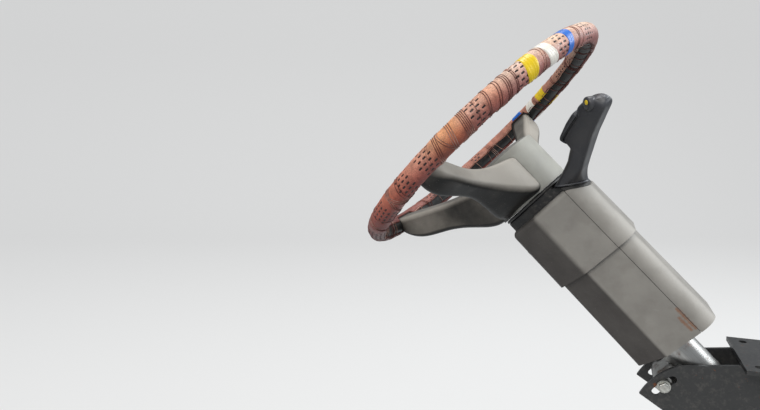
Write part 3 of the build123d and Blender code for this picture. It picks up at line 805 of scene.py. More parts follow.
def eased(values, table, spread_steps=3):
    """A table's second column at the given places, its corners rounded by a short running mean."""
    table = np.array(table)
    line = np.interp(values, table[:, 0], table[:, 1])
    padded = np.pad(line, spread_steps, mode="edge")
    window = np.ones(2 * spread_steps + 1) / (2 * spread_steps + 1)
    return np.convolve(padded, window, mode="valid")


def lever_skin(start, stop, rows, low, high, half, power=0.45):
    """Rings from start to stop: each spans the depths of two outlines and the half width of a third."""
    share = np.linspace(start, stop, rows)
    low, high, half = eased(share, low), eased(share, high), eased(share, half)
    across, deep = section_ring(half, (high - low) / 2.0, power)
    return on_lever(share[:, None], across, (high + low)[:, None] / 2.0 + deep)


def closed_rings(rings):
    """Points, faces and end caps of stacked rings."""
    rows, around = rings.shape[:2]
    faces, _ = lattice(rows, around, False, True)
    return rings.reshape(-1, 3), faces, end_caps(rows, around)


# %% [markdown]
# The grip is moulded in one piece with the flared skirt that covers its pivot. The neck, the chin under the
# trigger and the thick head follow two outlines read off the photograph. The third table is the half width.

# %% Outlines of the grip
NECK = 0.27
GRIP_END = 1.043
GRIP_ROWS = 150
GRIP_LOW = (
    # share of the lever's line, depth of the outline away from the driver
    (0.27, -11.3), (0.33, -10.4), (0.40, -9.7), (0.505, -8.7), (0.66, -7.2), (0.85, -8.0), (0.965, -8.8),
    (1.00, -8.0), (1.02, -6.5), (1.035, -4.4), (1.043, -2.6),
)
GRIP_HIGH = (
    # the same towards the driver
    (0.27, 12.8), (0.33, 14.0), (0.40, 15.2), (0.43, 15.8), (0.445, 18.5), (0.455, 23.0), (0.47, 28.6),
    (0.49, 30.6), (0.60, 28.8), (0.70, 26.2), (0.795, 23.2), (0.812, 22.6), (0.826, 24.6), (0.85, 25.3),
    (0.90, 22.6), (0.965, 16.2), (1.00, 10.5), (1.02, 6.4), (1.035, 2.4), (1.043, -0.4),
)
GRIP_HALF = (
    (0.27, 12.0), (0.40, 12.2), (0.46, 13.2), (0.66, 14.0), (0.82, 14.0), (0.93, 13.2), (0.985, 11.5),
    (1.015, 8.8), (1.033, 5.2), (1.043, 2.0),
)
grip_rings = lever_skin(NECK, GRIP_END, GRIP_ROWS, GRIP_LOW, GRIP_HIGH, GRIP_HALF)
print("grip rings", grip_rings.shape)

# %% [markdown]
# The skirt starts on the plane of its seat as a rounded rectangle. While its centre climbs slowly, its
# outline shrinks fast, and that makes the hollow curve of a tent. Its last ring is the neck's first, so
# the two are one skin.

# %% Grip and skirt
SEAT_SLOPE = math.radians(32.5)
SEAT_BACK = 9.0
seat_up_way = np.array([math.cos(SEAT_SLOPE), 0.0, -math.sin(SEAT_SLOPE)])
seat_out_way = np.array([math.sin(SEAT_SLOPE), 0.0, math.cos(SEAT_SLOPE)])
seat_middle = np.array([54.0, -46.0, -142.0 - SEAT_BACK * math.tan(SEAT_SLOPE)])
SKIRT_LOW = 5.5
SKIRT_EDGE = 2.3
SKIRT_BEVEL = 0.35
SKIRT_HALVES = (24.5, 19.0)
SKIRT_CORNER = 3
SKIRT_SHIFT = 1.5
SKIRT_TURN = math.radians(58.0)
SKIRT_CLIMB = 1.15
SKIRT_DRAW = 1.45
SKIRT_ROWS = 26


def skirt_outline(around):
    """Rounded rectangle on the seat: its reach is one over the cube root of two cubes' sum.

    The cubes are those of the cosine over one half width and of the sine over the other."""
    angle = np.linspace(0, 2 * np.pi, around, endpoint=False) + SKIRT_TURN
    c, s = np.cos(angle), np.sin(angle)
    cubes = np.abs(c / SKIRT_HALVES[0]) ** SKIRT_CORNER + np.abs(s / SKIRT_HALVES[1]) ** SKIRT_CORNER
    outline = (cubes ** (-1 / SKIRT_CORNER))[:, None] * (c[:, None] * seat_up_way + s[:, None] * left_way)
    return outline + SKIRT_SHIFT * seat_up_way


def skirt_rings(neck_ring, rows):
    """Rings from the seat to the neck, the last one left out.

    With t from 0 to 1, the centre moves from foot to neck by t to the climb's power. The outline changes
    into the neck's by one less (1 - t) to the draw's power."""
    local = (neck_ring - wheel_middle) / MM
    local = np.stack([local @ rim_way, local @ left_way, local @ shaft_way], axis=-1)
    centre = local.mean(axis=0)
    outline = skirt_outline(len(neck_ring))
    bevel = SKIRT_BEVEL * seat_out_way
    low = seat_middle + SKIRT_LOW * seat_out_way
    foot = seat_middle + (SKIRT_LOW + SKIRT_EDGE) * seat_out_way
    rings = [low + outline * 0.97, low + bevel + outline, foot - bevel + outline]
    for t in np.linspace(0.0, 1.0, rows, endpoint=False):
        drawn_in = 1.0 - (1.0 - t) ** SKIRT_DRAW
        middle = foot + (centre - foot) * t ** SKIRT_CLIMB
        rings.append(middle + outline * 0.975 * (1.0 - drawn_in) + (local - centre) * drawn_in)
    rings = np.array(rings)
    return on_column(rings[..., 0], rings[..., 1], rings[..., 2])


points, faces, caps = closed_rings(np.concatenate([skirt_rings(grip_rings[0], SKIRT_ROWS), grip_rings]))
grip = make_piece("lever_grip_skin", points, faces, "lever", "lever_black", caps=caps)
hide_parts("lever_grip")

# %% [markdown]
# The trigger is a crowned bar that lies over the hollow in the grip's front, with a narrow slot between
# them. A black cord lies in that slot on either side as painted shade, where no light comes out on the real
# lever.

# %% Trigger and its slot
TRIGGER_SPAN = (0.432, 0.806)
TRIGGER_ROWS = 80
TRIGGER_HIGH = (
    (0.432, 29.6), (0.440, 31.0), (0.455, 32.3), (0.505, 33.0), (0.66, 31.2), (0.77, 28.4), (0.79, 27.4),
    (0.80, 26.4), (0.806, 25.0),
)
TRIGGER_LOW = (
    (0.432, 21.5), (0.440, 20.0), (0.452, 22.5), (0.47, 27.2), (0.49, 28.5), (0.60, 25.3), (0.70, 22.3),
    (0.79, 19.6), (0.80, 20.4), (0.806, 21.8),
)
TRIGGER_HALF = (
    (0.432, 7.0), (0.440, 11.0), (0.455, 13.2), (0.50, 13.8), (0.66, 14.4), (0.77, 14.0), (0.80, 12.4),
    (0.806, 9.0),
)
TRIGGER_POWER = 0.4
SLOT_SPAN = (0.468, 0.792)
SLOT_STEPS = 60
SLOT_CORD_R = 0.75
SLOT_CORD_IN = 0.25
SLOT_CORD_UNDER = 0.3
trigger_rings = lever_skin(
    *TRIGGER_SPAN, TRIGGER_ROWS, TRIGGER_LOW, TRIGGER_HIGH, TRIGGER_HALF, TRIGGER_POWER
)
points, faces, caps = closed_rings(trigger_rings)
trigger = make_piece("lever_trigger", points, faces, "lever", "paddle_black", caps=caps)
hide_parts("lever_paddle")


def slot_shade_cord(side):
    """A black cord standing for the shade in the joint between grip and trigger, along the trigger's inner
    outline.
    """
    share = np.linspace(*SLOT_SPAN, SLOT_STEPS)
    depth = eased(share, TRIGGER_LOW) - SLOT_CORD_UNDER
    half = eased(share, GRIP_HALF)
    path = on_lever(share, side * (half - SLOT_CORD_IN), depth)
    raised = on_lever(share, side * (half + (1.0 - SLOT_CORD_IN)), depth)
    return laid_rope(path, raised, SLOT_CORD_R, False, 8)


points, faces, caps = joined([slot_shade_cord(side) for side in (-1.0, 1.0)])
make_piece("trigger_slot", points, faces, "lever", "boot_rubber", caps=caps)

# %% [markdown]
# The thumb button sits on the shoulder above the trigger, turned to the driver's right. It is a
# turned dome with a soft edge, and a small yellow mark stands on its upper half.

# %% Button and its mark
BUTTON_LEAN = math.radians(62.0)
BUTTON_PLACE = (0.945, -3.5, 9.0)
BUTTON_DOME = (
    (0.5, 0.0), (9.0, 0.0), (9.4, 5.0), (9.4, 8.6), (9.0, 9.7), (8.0, 10.6), (6.0, 11.4), (3.2, 11.9),
    (0.4, 12.0),
)
MARK_DOME = ((0.3, 0.0), (3.3, 0.0), (3.3, 0.8), (2.6, 1.2), (0.3, 1.35))
MARK_OUT = 10.9
MARK_UP = 3.2
button_way = as_way(-math.sin(BUTTON_LEAN) * lever_across + math.cos(BUTTON_LEAN) * lever_deep)
button_place = on_lever(*BUTTON_PLACE)
button_dome = turned_part(button_place, button_way, BUTTON_DOME)
button = make_turned("lever_push_button", [button_dome], "lever", "button_black")
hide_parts("lever_button")
mark_place = button_place + (button_way * MARK_OUT + as_way(lever_along) * MARK_UP) * MM
make_turned("button_mark", [turned_part(mark_place, button_way, MARK_DOME)], "lever", "band_yellow")

# %% [markdown]
# Steel parts that are welded have beads along their joints. A bead is a round cord, half sunk, whose
# thickness ripples like overlapping coins. The bracket has one inside and one outside each cheek, and the
# jacket has two at each of its lugs.

# %% Weld beads
BEAD_SIDES = 10
BEAD_STEPS = 6
BEAD_THIN = 0.82
BEAD_RIPPLE = 0.30
BEAD_END = 0.3


def weld(start, stop, outward, thick, ripples):
    """A bead from start to stop: a rope whose thickness is a thin part plus the ripple's rising saw."""
    count = ripples * BEAD_STEPS
    share = np.linspace(0.0, 1.0, count)
    path = np.asarray(start) + (np.asarray(stop) - np.asarray(start)) * share[:, None]
    out = np.tile(np.asarray(outward, dtype=float), (count, 1))
    points, faces, caps = rope(path, out, thick * MM, False, BEAD_SIDES)
    rings = points.reshape(count, BEAD_SIDES, 3)
    swell = BEAD_THIN + BEAD_RIPPLE * ((share * ripples) % 1.0)
    swell[[0, -1]] = BEAD_END
    rings = path[:, None] + (rings - path[:, None]) * swell[:, None, None]
    return rings.reshape(-1, 3), faces, caps


# %% [markdown]
# The bracket's cheeks are welded to its plate from inside and outside, so each bead runs in a corner that a
# cheek makes with the underside of the plate.

# %% Beads on the bracket
PLATE_UNDER = -6.0 * MM
CHEEK_FACES = ((33.5, -1.0), (38.5, 1.0))
CHEEK_BEAD_END = 0.056
CHEEK_BEAD_SUNK = 0.0006
bead_height = PLATE_UNDER - CHEEK_BEAD_SUNK
beads = []
for side in (-1.0, 1.0):
    for face, lean in CHEEK_FACES:
        y = side * (face + lean * 0.6) * MM
        ends = (-CHEEK_BEAD_END, y, bead_height), (CHEEK_BEAD_END, y, bead_height)
        beads.append(weld(*ends, (0, 0, -1), 3.0, 26))
points, faces, caps = joined(beads)
make_piece("bracket_welds", points, faces, "bracket", "bracket_steel", caps=caps)

# %% [markdown]
# The jacket's lugs are welded where they leave the tube. A straight bead runs across at both faces of each
# lug.

# %% Beads on the jacket
LUG_STATIONS = (-530.0, -440.0)
LUG_FACE = 12.0
LUG_HALF = 16.0
beads = []
for station in LUG_STATIONS:
    for end in (-LUG_FACE, LUG_FACE):
        line = on_column(-23.0, np.array([-LUG_HALF, LUG_HALF]), station + end * 1.06)
        beads.append(weld(line[0], line[1], -rim_way, 2.2, 10))
points, faces, caps = joined(beads)
make_piece("jacket_welds", points, faces, "column", "tube_steel", caps=caps)

# %% [markdown]
# Finishes are built from nodes. Small helpers keep the recipes short: the first adds a node and fills its
# inputs, and the last starts a node group with named sockets. A group here gives out only masks, heights
# and colours, and each material keeps its own shader.

# %% Node helpers


def node(tree, kind, inputs=None, **settings):
    """Add a shader node, set its options, then fill each input with a value or a link from another node."""
    item = tree.nodes.new("ShaderNode" + kind)
    for key, value in settings.items():
        setattr(item, key, value)
    for key, value in (inputs or {}).items():
        if isinstance(value, bpy.types.NodeSocket):
            tree.links.new(value, item.inputs[key])
        else:
            item.inputs[key].default_value = value
    return item


def maths(tree, operation, first, second=0.0, third=0.0):
    """One step of arithmetic on values."""
    return node(tree, "Math", {0: first, 1: second, 2: third}, operation=operation).outputs[0]


def times_plus(tree, value, factor, added):
    """A value times a factor, plus another."""
    return maths(tree, "MULTIPLY_ADD", value, factor, added)


def spread(tree, value, low, high, to_low=0.0, to_high=1.0):
    """A value's smooth share of the way from low to high, as a number between two others."""
    inputs = {"Value": value, "From Min": low, "From Max": high, "To Min": to_low, "To Max": to_high}
    return node(tree, "MapRange", inputs, interpolation_type="SMOOTHSTEP").outputs["Result"]


def mixed(tree, share, first, second, blend="MIX"):
    """Two colours mixed by a share."""
    inputs = {0: share, 6: first, 7: second}
    return node(tree, "Mix", inputs, data_type="RGBA", blend_type=blend).outputs[2]


def noise(tree, place, scale, detail, roughness=0.5):
    """A noise texture's value at a place."""
    inputs = {"Vector": place, "Scale": scale, "Detail": detail, "Roughness": roughness}
    return node(tree, "TexNoise", inputs).outputs["Fac"]


def start_group(name, wanted, given):
    """A node group with named inputs and outputs, and its two end nodes."""
    tree = bpy.data.node_groups.new(name, "ShaderNodeTree")
    for label, kind, value in wanted:
        socket = tree.interface.new_socket(label, in_out="INPUT", socket_type="NodeSocket" + kind)
        if value is not None:
            socket.default_value = value
    for label, kind in given:
        tree.interface.new_socket(label, in_out="OUTPUT", socket_type="NodeSocket" + kind)
    return tree, tree.nodes.new("NodeGroupInput").outputs, tree.nodes.new("NodeGroupOutput").inputs


# %% [markdown]
# Moulded plastic has a pebble grain of about a millimetre. Rounded cells give the pebbles, and a finer
# noise roughens them. The grain's size is an input, so that each plastic has its own.

# %% Grain group
tree, grain_in, grain_out = start_group(
    "pebble_grain", [("Place", "Vector", None), ("Size", "Float", 0.001)], [("Height", "Float")]
)
grain_group = tree
scale = maths(tree, "DIVIDE", 1.0, grain_in["Size"])
cells = node(tree, "TexVoronoi", {"Vector": grain_in["Place"], "Scale": scale}, feature="SMOOTH_F1")
fine = noise(tree, grain_in["Place"], maths(tree, "MULTIPLY", scale, 2.7), 2.0)
tree.links.new(times_plus(tree, fine, 0.35, cells.outputs["Distance"]), grain_out["Height"])
print("group", tree.name)

# %% [markdown]
# The old plastic is painted light where it faces the light and painted shade where it faces away, and it is
# dusty on the lit side. How much a surface faces the light decides the share, patches of noise move its edge
# about, and specks of real dust lie where the light is painted.

# %% Painted light and dust group
LIGHT_WAY = (0.28, -0.75, 0.60)
DUST = (0.36, 0.33, 0.29, 1)
tree, painted_light_in, painted_light_out = start_group(
    "painted_light_and_dust",
    [
        ("Place", "Vector", None), ("Facing", "Vector", None), ("Deep", "Color", (0.1, 0.1, 0.1, 1)),
        ("Bleached", "Color", (0.4, 0.4, 0.4, 1)), ("Low", "Float", -0.1), ("High", "Float", 0.7),
    ],
    [("Colour", "Color"), ("Bleach", "Float")],
)
painted_light_group = tree
# painted light: how much the surface faces one fixed light decides between the shaded and the lit colour
lit = node(tree, "VectorMath", {0: painted_light_in["Facing"], 1: LIGHT_WAY}, operation="DOT_PRODUCT")
sway = times_plus(tree, noise(tree, painted_light_in["Place"], 22.0, 5.0, 0.6), 0.34, -0.17)
swayed = maths(tree, "ADD", lit.outputs["Value"], sway)
painted_lighting = spread(tree, swayed, painted_light_in["Low"], painted_light_in["High"])
colour = mixed(tree, painted_lighting, painted_light_in["Deep"], painted_light_in["Bleached"])
dust_share = spread(tree, noise(tree, painted_light_in["Place"], 140.0, 6.0, 0.7), 0.46, 0.74, 0.0, 0.22)
colour = mixed(tree, maths(tree, "MULTIPLY", dust_share, painted_lighting), colour, DUST)
tree.links.new(colour, painted_light_out["Colour"])
tree.links.new(painted_lighting, painted_light_out["Bleach"])
print("group", tree.name)

# %% [markdown]
# Fine scratches and hand grease change the gloss more than the colour. A noise that is stretched along one
# slanting line gives the scratches, and a broad round one gives the smears.

# %% Scratch and grease group
tree, handled_in, handled_out = start_group(
    "handled",
    [("Place", "Vector", None), ("Amount", "Float", 1.0)],
    [("Scratch", "Float"), ("Grease", "Float")],
)
handled_group = tree
drawn_out = {"Vector": handled_in["Place"], "Rotation": (0.4, 0.7, 0.3), "Scale": (1.0, 14.0, 14.0)}
stretched = node(tree, "Mapping", drawn_out).outputs[0]
scratch = spread(tree, noise(tree, stretched, 55.0, 4.0), 0.66, 0.74)
smear = spread(tree, noise(tree, handled_in["Place"], 34.0, 3.0), 0.42, 0.66)
tree.links.new(maths(tree, "MULTIPLY", scratch, handled_in["Amount"]), handled_out["Scratch"])
tree.links.new(maths(tree, "MULTIPLY", smear, handled_in["Amount"]), handled_out["Grease"])
print("group", tree.name)

# %% [markdown]
# Leather is creased: flat plates between fine lines, with pores inside the plates. A Voronoi texture's
# distance to its cell edges draws the lines, and noise bends them.

# %% Creased hide group
HIDE_BEND = 0.0016
tree, hide_in, hide_out = start_group(
    "creased_hide",
    [("Place", "Vector", None), ("Size", "Float", 0.002)],
    [("Height", "Float"), ("Crease", "Float")],
)
hide_group = tree
hide_scale = maths(tree, "DIVIDE", 1.0, hide_in["Size"])
bend = node(tree, "TexNoise", {"Vector": hide_in["Place"], "Scale": 260.0, "Detail": 3.0}).outputs["Color"]
push = node(tree, "VectorMath", {0: bend, 1: (HIDE_BEND,) * 3}, operation="MULTIPLY").outputs[0]
bent = node(tree, "VectorMath", {0: hide_in["Place"], 1: push}, operation="ADD").outputs[0]
plates = node(tree, "TexVoronoi", {"Vector": bent, "Scale": hide_scale}, feature="DISTANCE_TO_EDGE")
plate = spread(tree, plates.outputs["Distance"], 0.0, 0.12)
tree.links.new(times_plus(tree, noise(tree, hide_in["Place"], 2400.0, 2.0), 0.3, plate), hide_out["Height"])
tree.links.new(maths(tree, "SUBTRACT", 1.0, plate), hide_out["Crease"])
print("group", tree.name)

# %% [markdown]
# The slot pattern repeats the formula that dented the cover's mesh, on the same unrolled place in degrees,
# so the dark slots and the dents coincide.

# %% Slot group
tree, slots_in, slots_out = start_group("slot_rows", [("Unrolled", "Vector", None)], [("Slot", "Float")])
slots_group = tree
place = node(tree, "SeparateXYZ", {0: slots_in["Unrolled"]})
row = maths(tree, "FLOOR", maths(tree, "DIVIDE", place.outputs["Y"], ROW_PITCH))
odd = maths(tree, "MULTIPLY", maths(tree, "FLOORED_MODULO", row, 2.0), 0.5)
moved = maths(tree, "ADD", maths(tree, "DIVIDE", place.outputs["X"], SLOT_PITCH), odd)
along = maths(tree, "SUBTRACT", maths(tree, "FRACT", moved), 0.5)
along = maths(tree, "ABSOLUTE", maths(tree, "MULTIPLY", along, SLOT_PITCH))
along = maths(tree, "MAXIMUM", maths(tree, "SUBTRACT", along, SLOT_HALF - SLOT_END), 0.0)
along = maths(tree, "DIVIDE", along, SLOT_END_WIDTH)
row_middle = maths(tree, "MULTIPLY", maths(tree, "ADD", row, 0.5), ROW_PITCH)
across = maths(tree, "SUBTRACT", place.outputs["Y"], row_middle)
across = maths(tree, "DIVIDE", across, SLOT_ROUND)
square = maths(tree, "ADD", maths(tree, "POWER", along, 2.0), maths(tree, "MULTIPLY", across, across))
slot = spread(tree, maths(tree, "SQRT", square), 0.62, 0.9, 1.0, 0.0)
tree.links.new(slot, slots_out["Slot"])
print("group", tree.name)

# %% [markdown]
# Drawn tube has fine streaks along its length, and rust starts in spots. The streaks are a noise squeezed
# across the column, which is why its place is first turned by the column's rake.

# %% Metal group
COLUMN_RAKE = math.radians(44.7)
STREAKS = (900.0, 900.0, 18.0)
tree, drawn_in, drawn_out = start_group(
    "drawn_metal",
    [("Place", "Vector", None), ("Rust", "Float", 0.2)],
    [("Streak", "Float"), ("Rusty", "Float")],
)
drawn_group = tree
raked = node(tree, "Mapping", {"Vector": drawn_in["Place"], "Rotation": (0, COLUMN_RAKE, 0)}).outputs[0]
squeezed = node(tree, "Mapping", {"Vector": raked, "Scale": STREAKS}).outputs[0]
tree.links.new(noise(tree, squeezed, 1.0, 4.0), drawn_out["Streak"])
spots = spread(tree, noise(tree, drawn_in["Place"], 70.0, 8.0, 0.68), 0.52, 0.68)
tree.links.new(maths(tree, "MULTIPLY", spots, drawn_in["Rust"]), drawn_out["Rusty"])
print("group", tree.name)

# %% [markdown]
# Each finish is a function that returns one material, made from the groups with its own sizes and colours.
# The colours are written as they look, from 0 to 255, and turned into linear light. Heights for the bumps
# are in millimetres.

# %% Helpers of the finishes


def seen(red, green, blue):
    """A seen colour as a shader colour."""
    return (*linear((red, green, blue)), 1.0)


def blank(name):
    """A material with its tree, its shader, and the Object place and facing of the surface."""
    material = bpy.data.materials.new(name)
    material.use_nodes = True
    tree = material.node_tree
    shader = tree.nodes["Principled BSDF"]
    place = node(tree, "TexCoord")
    return material, tree, shader, place.outputs["Object"], place.outputs["Normal"]


def grouped(tree, group, **inputs):
    """The outputs of a group placed in a material, with its inputs filled."""
    return node(tree, "Group", inputs, node_tree=group).outputs


def bump(tree, shader, height, distance, strength=1.0):
    """Feed a height in millimetres into the shader's normal."""
    inputs = {"Height": height, "Distance": distance * MM, "Strength": strength}
    tree.links.new(node(tree, "Bump", inputs).outputs["Normal"], shader.inputs["Normal"])


def tinted(tree, base, mask, amount, tint):
    """A colour mixed towards a tint by a mask times an amount."""
    return mixed(tree, maths(tree, "MULTIPLY", mask, amount), base, tint)


# %% [markdown]
# The shrouds, spokes, hub and lever are all moulded plastic in different greys. Rust water has run down the
# lower shroud from a screw, so a finish can be given stains: balls of colour whose reach noise makes ragged.
# The same balls paint shade into the slit at the lever's tip.

# %% Moulded plastic


def moulded(name, deep, lit_colour, low, high, rough, grain_mm=1.1, relief=0.05, handled=0.6, stains_and_shade_spots=(),
            shine=0.28):
    """Grained plastic with painted light on the side facing the light and painted shade on the rest, greasy where
    held, with round ragged spots if asked: rust stains, and painted shade in the lever's slit.
    """
    material, tree, shader, place, facing = blank(name)
    # painted light and shade: the light colour facing the light, the shade colour facing away
    lit_and_dust = grouped(tree, painted_light_group, Place=place, Facing=facing, Deep=deep, Bleached=lit_colour, Low=low,
                   High=high)
    touch = grouped(tree, handled_group, Place=place, Amount=handled)
    colour = tinted(tree, lit_and_dust["Colour"], touch["Scratch"], 0.30, seen(196, 192, 184))
    colour = tinted(tree, colour, touch["Grease"], 0.22, seen(70, 62, 54))
    ragged = noise(tree, place, 240.0, 6.0)
    # rust stains, and spots of painted shade in the lever's slit
    for spot, reach, tint in stains_and_shade_spots:
        distance = node(tree, "VectorMath", {0: place, 1: spot}, operation="DISTANCE").outputs["Value"]
        edge = times_plus(tree, ragged, reach * 1.3, distance)
        colour = mixed(tree, spread(tree, edge, reach * 1.9, reach * 0.7, 0.0, 0.62), colour, tint)
    tree.links.new(colour, shader.inputs["Base Color"])
    shader.inputs["Specular IOR Level"].default_value = shine
    roughness = times_plus(tree, touch["Grease"], -0.16, rough)
    roughness = times_plus(tree, lit_and_dust["Bleach"], 0.08, roughness)
    tree.links.new(roughness, shader.inputs["Roughness"])
    grain = grouped(tree, grain_group, Place=place, Size=grain_mm * MM)
    bump(tree, shader, grain["Height"], relief)
    return material


# %% [markdown]
# The bolts are zinc plated and the tubes are bare drawn steel. Rust is rough and not metallic, so one mask
# changes the colour, the gloss and the metal together. The bracket is painted black and chipped instead.

# %% Steel


def metal(name, colour, rough, rust):
    """Drawn or plated steel with streaks along the column and rust in spots."""
    material, tree, shader, place, _ = blank(name)
    drawn = grouped(tree, drawn_group, Place=place, Rust=rust)
    base = mixed(tree, spread(tree, drawn["Streak"], 0.3, 0.7, 0.0, 0.35), colour, seen(112, 110, 106))
    base = mixed(tree, drawn["Rusty"], base, seen(112, 66, 38))
    tree.links.new(base, shader.inputs["Base Color"])
    tree.links.new(times_plus(tree, drawn["Rusty"], -0.9, 1.0), shader.inputs["Metallic"])
    gloss = times_plus(tree, drawn["Streak"], 0.22, rough - 0.11)
    tree.links.new(times_plus(tree, drawn["Rusty"], 0.4, gloss), shader.inputs["Roughness"])
    bump(tree, shader, times_plus(tree, drawn["Rusty"], 0.7, drawn["Streak"]), 0.03)
    return material


def painted_steel(name):
    """Black paint, chipped to primer and rust in a few places, with painted light where it faces the light."""
    material, tree, shader, place, facing = blank(name)
    lit_and_dust = grouped(tree, painted_light_group, Place=place, Facing=facing, Deep=seen(30, 31, 33),
                   Bleached=seen(66, 66, 66), Low=0.2, High=1.1)
    chipped = spread(tree, noise(tree, place, 48.0, 9.0, 0.72), 0.64, 0.67)
    tree.links.new(mixed(tree, chipped, lit_and_dust["Colour"], seen(120, 74, 48)), shader.inputs["Base Color"])
    tree.links.new(times_plus(tree, chipped, 0.35, 0.42), shader.inputs["Roughness"])
    orange_peel = noise(tree, place, 420.0, 1.0)
    bump(tree, shader, times_plus(tree, chipped, -1.4, orange_peel), 0.06)
    return material


# %% [markdown]
# The cover's leather takes its tone, which holds dirt, painted shade and a painted highlight, its perforated
# patches and its pressed grooves from the mesh, and its slots from the unrolled place. The grooves are
# darkened with painted shade. The bands use the same recipe with one colour each and fewer creases.

# %% Leather


def leather(name, colour=None, rough=0.52, crease=0.34, relief=0.10):
    """Creased, hand-worn leather. Without a colour it takes the cover's own tones and slots from its mesh."""
    material, tree, shader, place, _ = blank(name)
    hide = grouped(tree, hide_group, Place=place, Size=0.0026)
    touch = grouped(tree, handled_group, Place=place, Amount=crease * 2.4)
    # the tone attribute holds dirt, painted shade on the underside and a painted highlight
    base = colour or node(tree, "Attribute", attribute_name="tone").outputs["Color"]
    patches = noise(tree, place, 95.0, 5.0, 0.62)
    worn = spread(tree, patches, 0.36, 0.68, 1.0 + crease * 0.5, 1.0 - crease * 0.8)
    green, blue = maths(tree, "MULTIPLY", worn, 0.98), maths(tree, "MULTIPLY", worn, 0.95)
    tint = node(tree, "CombineColor", {0: worn, 1: green, 2: blue}).outputs[0]
    base = mixed(tree, 1.0, base, tint, "MULTIPLY")
    base = tinted(tree, base, hide["Crease"], crease, seen(96, 50, 40))
    base = tinted(tree, base, touch["Scratch"], 0.35, seen(226, 196, 172))
    height = hide["Height"]
    if colour is None:
        # painted shade in the grooves that the thread presses in
        groove_shade = node(tree, "Attribute", attribute_name="groove_shade").outputs["Fac"]
        base = mixed(tree, spread(tree, groove_shade, 0.16, 0.40, 0.0, 0.42), base, seen(104, 56, 46))
        unrolled = node(tree, "UVMap", uv_map="surface").outputs["UV"]
        slots = grouped(tree, slots_group, Unrolled=unrolled)
        open_here = node(tree, "Attribute", attribute_name="perforated").outputs["Fac"]
        slot = maths(tree, "MULTIPLY", slots["Slot"], maths(tree, "GREATER_THAN", open_here, 0.5))
        base = mixed(tree, slot, base, seen(38, 17, 15))
        height = times_plus(tree, slot, -2.5, height)
    tree.links.new(base, shader.inputs["Base Color"])
    tree.links.new(times_plus(tree, touch["Grease"], -0.2, rough), shader.inputs["Roughness"])
    bump(tree, shader, height, relief)
    return material


# %% [markdown]
# The thread and the lace are waxed and twisted, with dirt in patches. The boot, the seal and the rim's core
# are soft black rubber with a finer and duller skin than the plastic has.

# %% Thread and rubber


def cord(name, colour):
    """Twisted waxed thread: fine slanting strands and dirt."""
    material, tree, shader, place, _ = blank(name)
    strands = node(
        tree, "TexWave", {"Vector": place, "Scale": 520.0, "Distortion": 2.0}, bands_direction="DIAGONAL"
    )
    dirt = spread(tree, noise(tree, place, 18.0, 4.0), 0.40, 0.55)
    tree.links.new(mixed(tree, dirt, colour, seen(100, 56, 50)), shader.inputs["Base Color"])
    shader.inputs["Roughness"].default_value = 0.6
    bump(tree, shader, strands.outputs["Fac"], 0.1)
    return material


def rubber(name, colour, rough, lit_seen=(70, 68, 66)):
    """Soft black rubber with a fine matt skin, scuffed grey, with painted light where it faces the light."""
    material, tree, shader, place, facing = blank(name)
    lit_and_dust = grouped(tree, painted_light_group, Place=place, Facing=facing, Deep=colour, Bleached=seen(*lit_seen),
                   Low=0.2, High=1.2)
    touch = grouped(tree, handled_group, Place=place, Amount=0.8)
    base = tinted(tree, lit_and_dust["Colour"], touch["Scratch"], 0.4, seen(96, 92, 88))
    tree.links.new(base, shader.inputs["Base Color"])
    tree.links.new(times_plus(tree, touch["Grease"], -0.2, rough), shader.inputs["Roughness"])
    grain = grouped(tree, grain_group, Place=place, Size=0.0006)
    bump(tree, shader, grain["Height"], 0.04)
    return material


# %% [markdown]
# Two rust streaks run down along the lower shroud on the driver's right, close to its seam. Each is a row of
# small stains that touch. The slit at the lever's tip is painted shade: a row of three black spots.

# %% Stains and painted shade spots
RUST_STREAKS = (
    # height, start and end along the shaft, reach in millimetres
    (43.6, -362.0, -398.0, 3.2), (37.5, -374.0, -396.0, 3.0),
)
STREAK_SIDE = -58.0
STREAK_STEP = 3.4
RUST = seen(150, 96, 60)
SLIT_SHADE_BLACK = seen(8, 8, 9)
STAINS = []
for up, start, stop, reach in RUST_STREAKS:
    for along in np.arange(start, stop, -STREAK_STEP):
        STAINS.append((tuple(on_column(up, STREAK_SIDE, along)), reach * MM, RUST))
# painted shade in the slit at the lever's tip
SLIT_SHADE_SPOTS = [(tuple(on_lever(1.015, -6.5, depth)), 0.0024, SLIT_SHADE_BLACK) for depth in (1.0, 3.0, 5.0)]
print("stains_and_shade_spots", len(STAINS), "and", len(SLIT_SHADE_SPOTS))

# %% [markdown]
# Every material slot of the record gets its finish here. For the painted light on a plastic, low and high say
# how much it has to face the light for that to start and to be complete.

# %% Finishes for each slot
HANDLE = {"low": 0.2, "high": 1.1, "grain_mm": 0.7, "shine": 0.5}
BAND = {"crease": 0.07, "relief": 0.03}
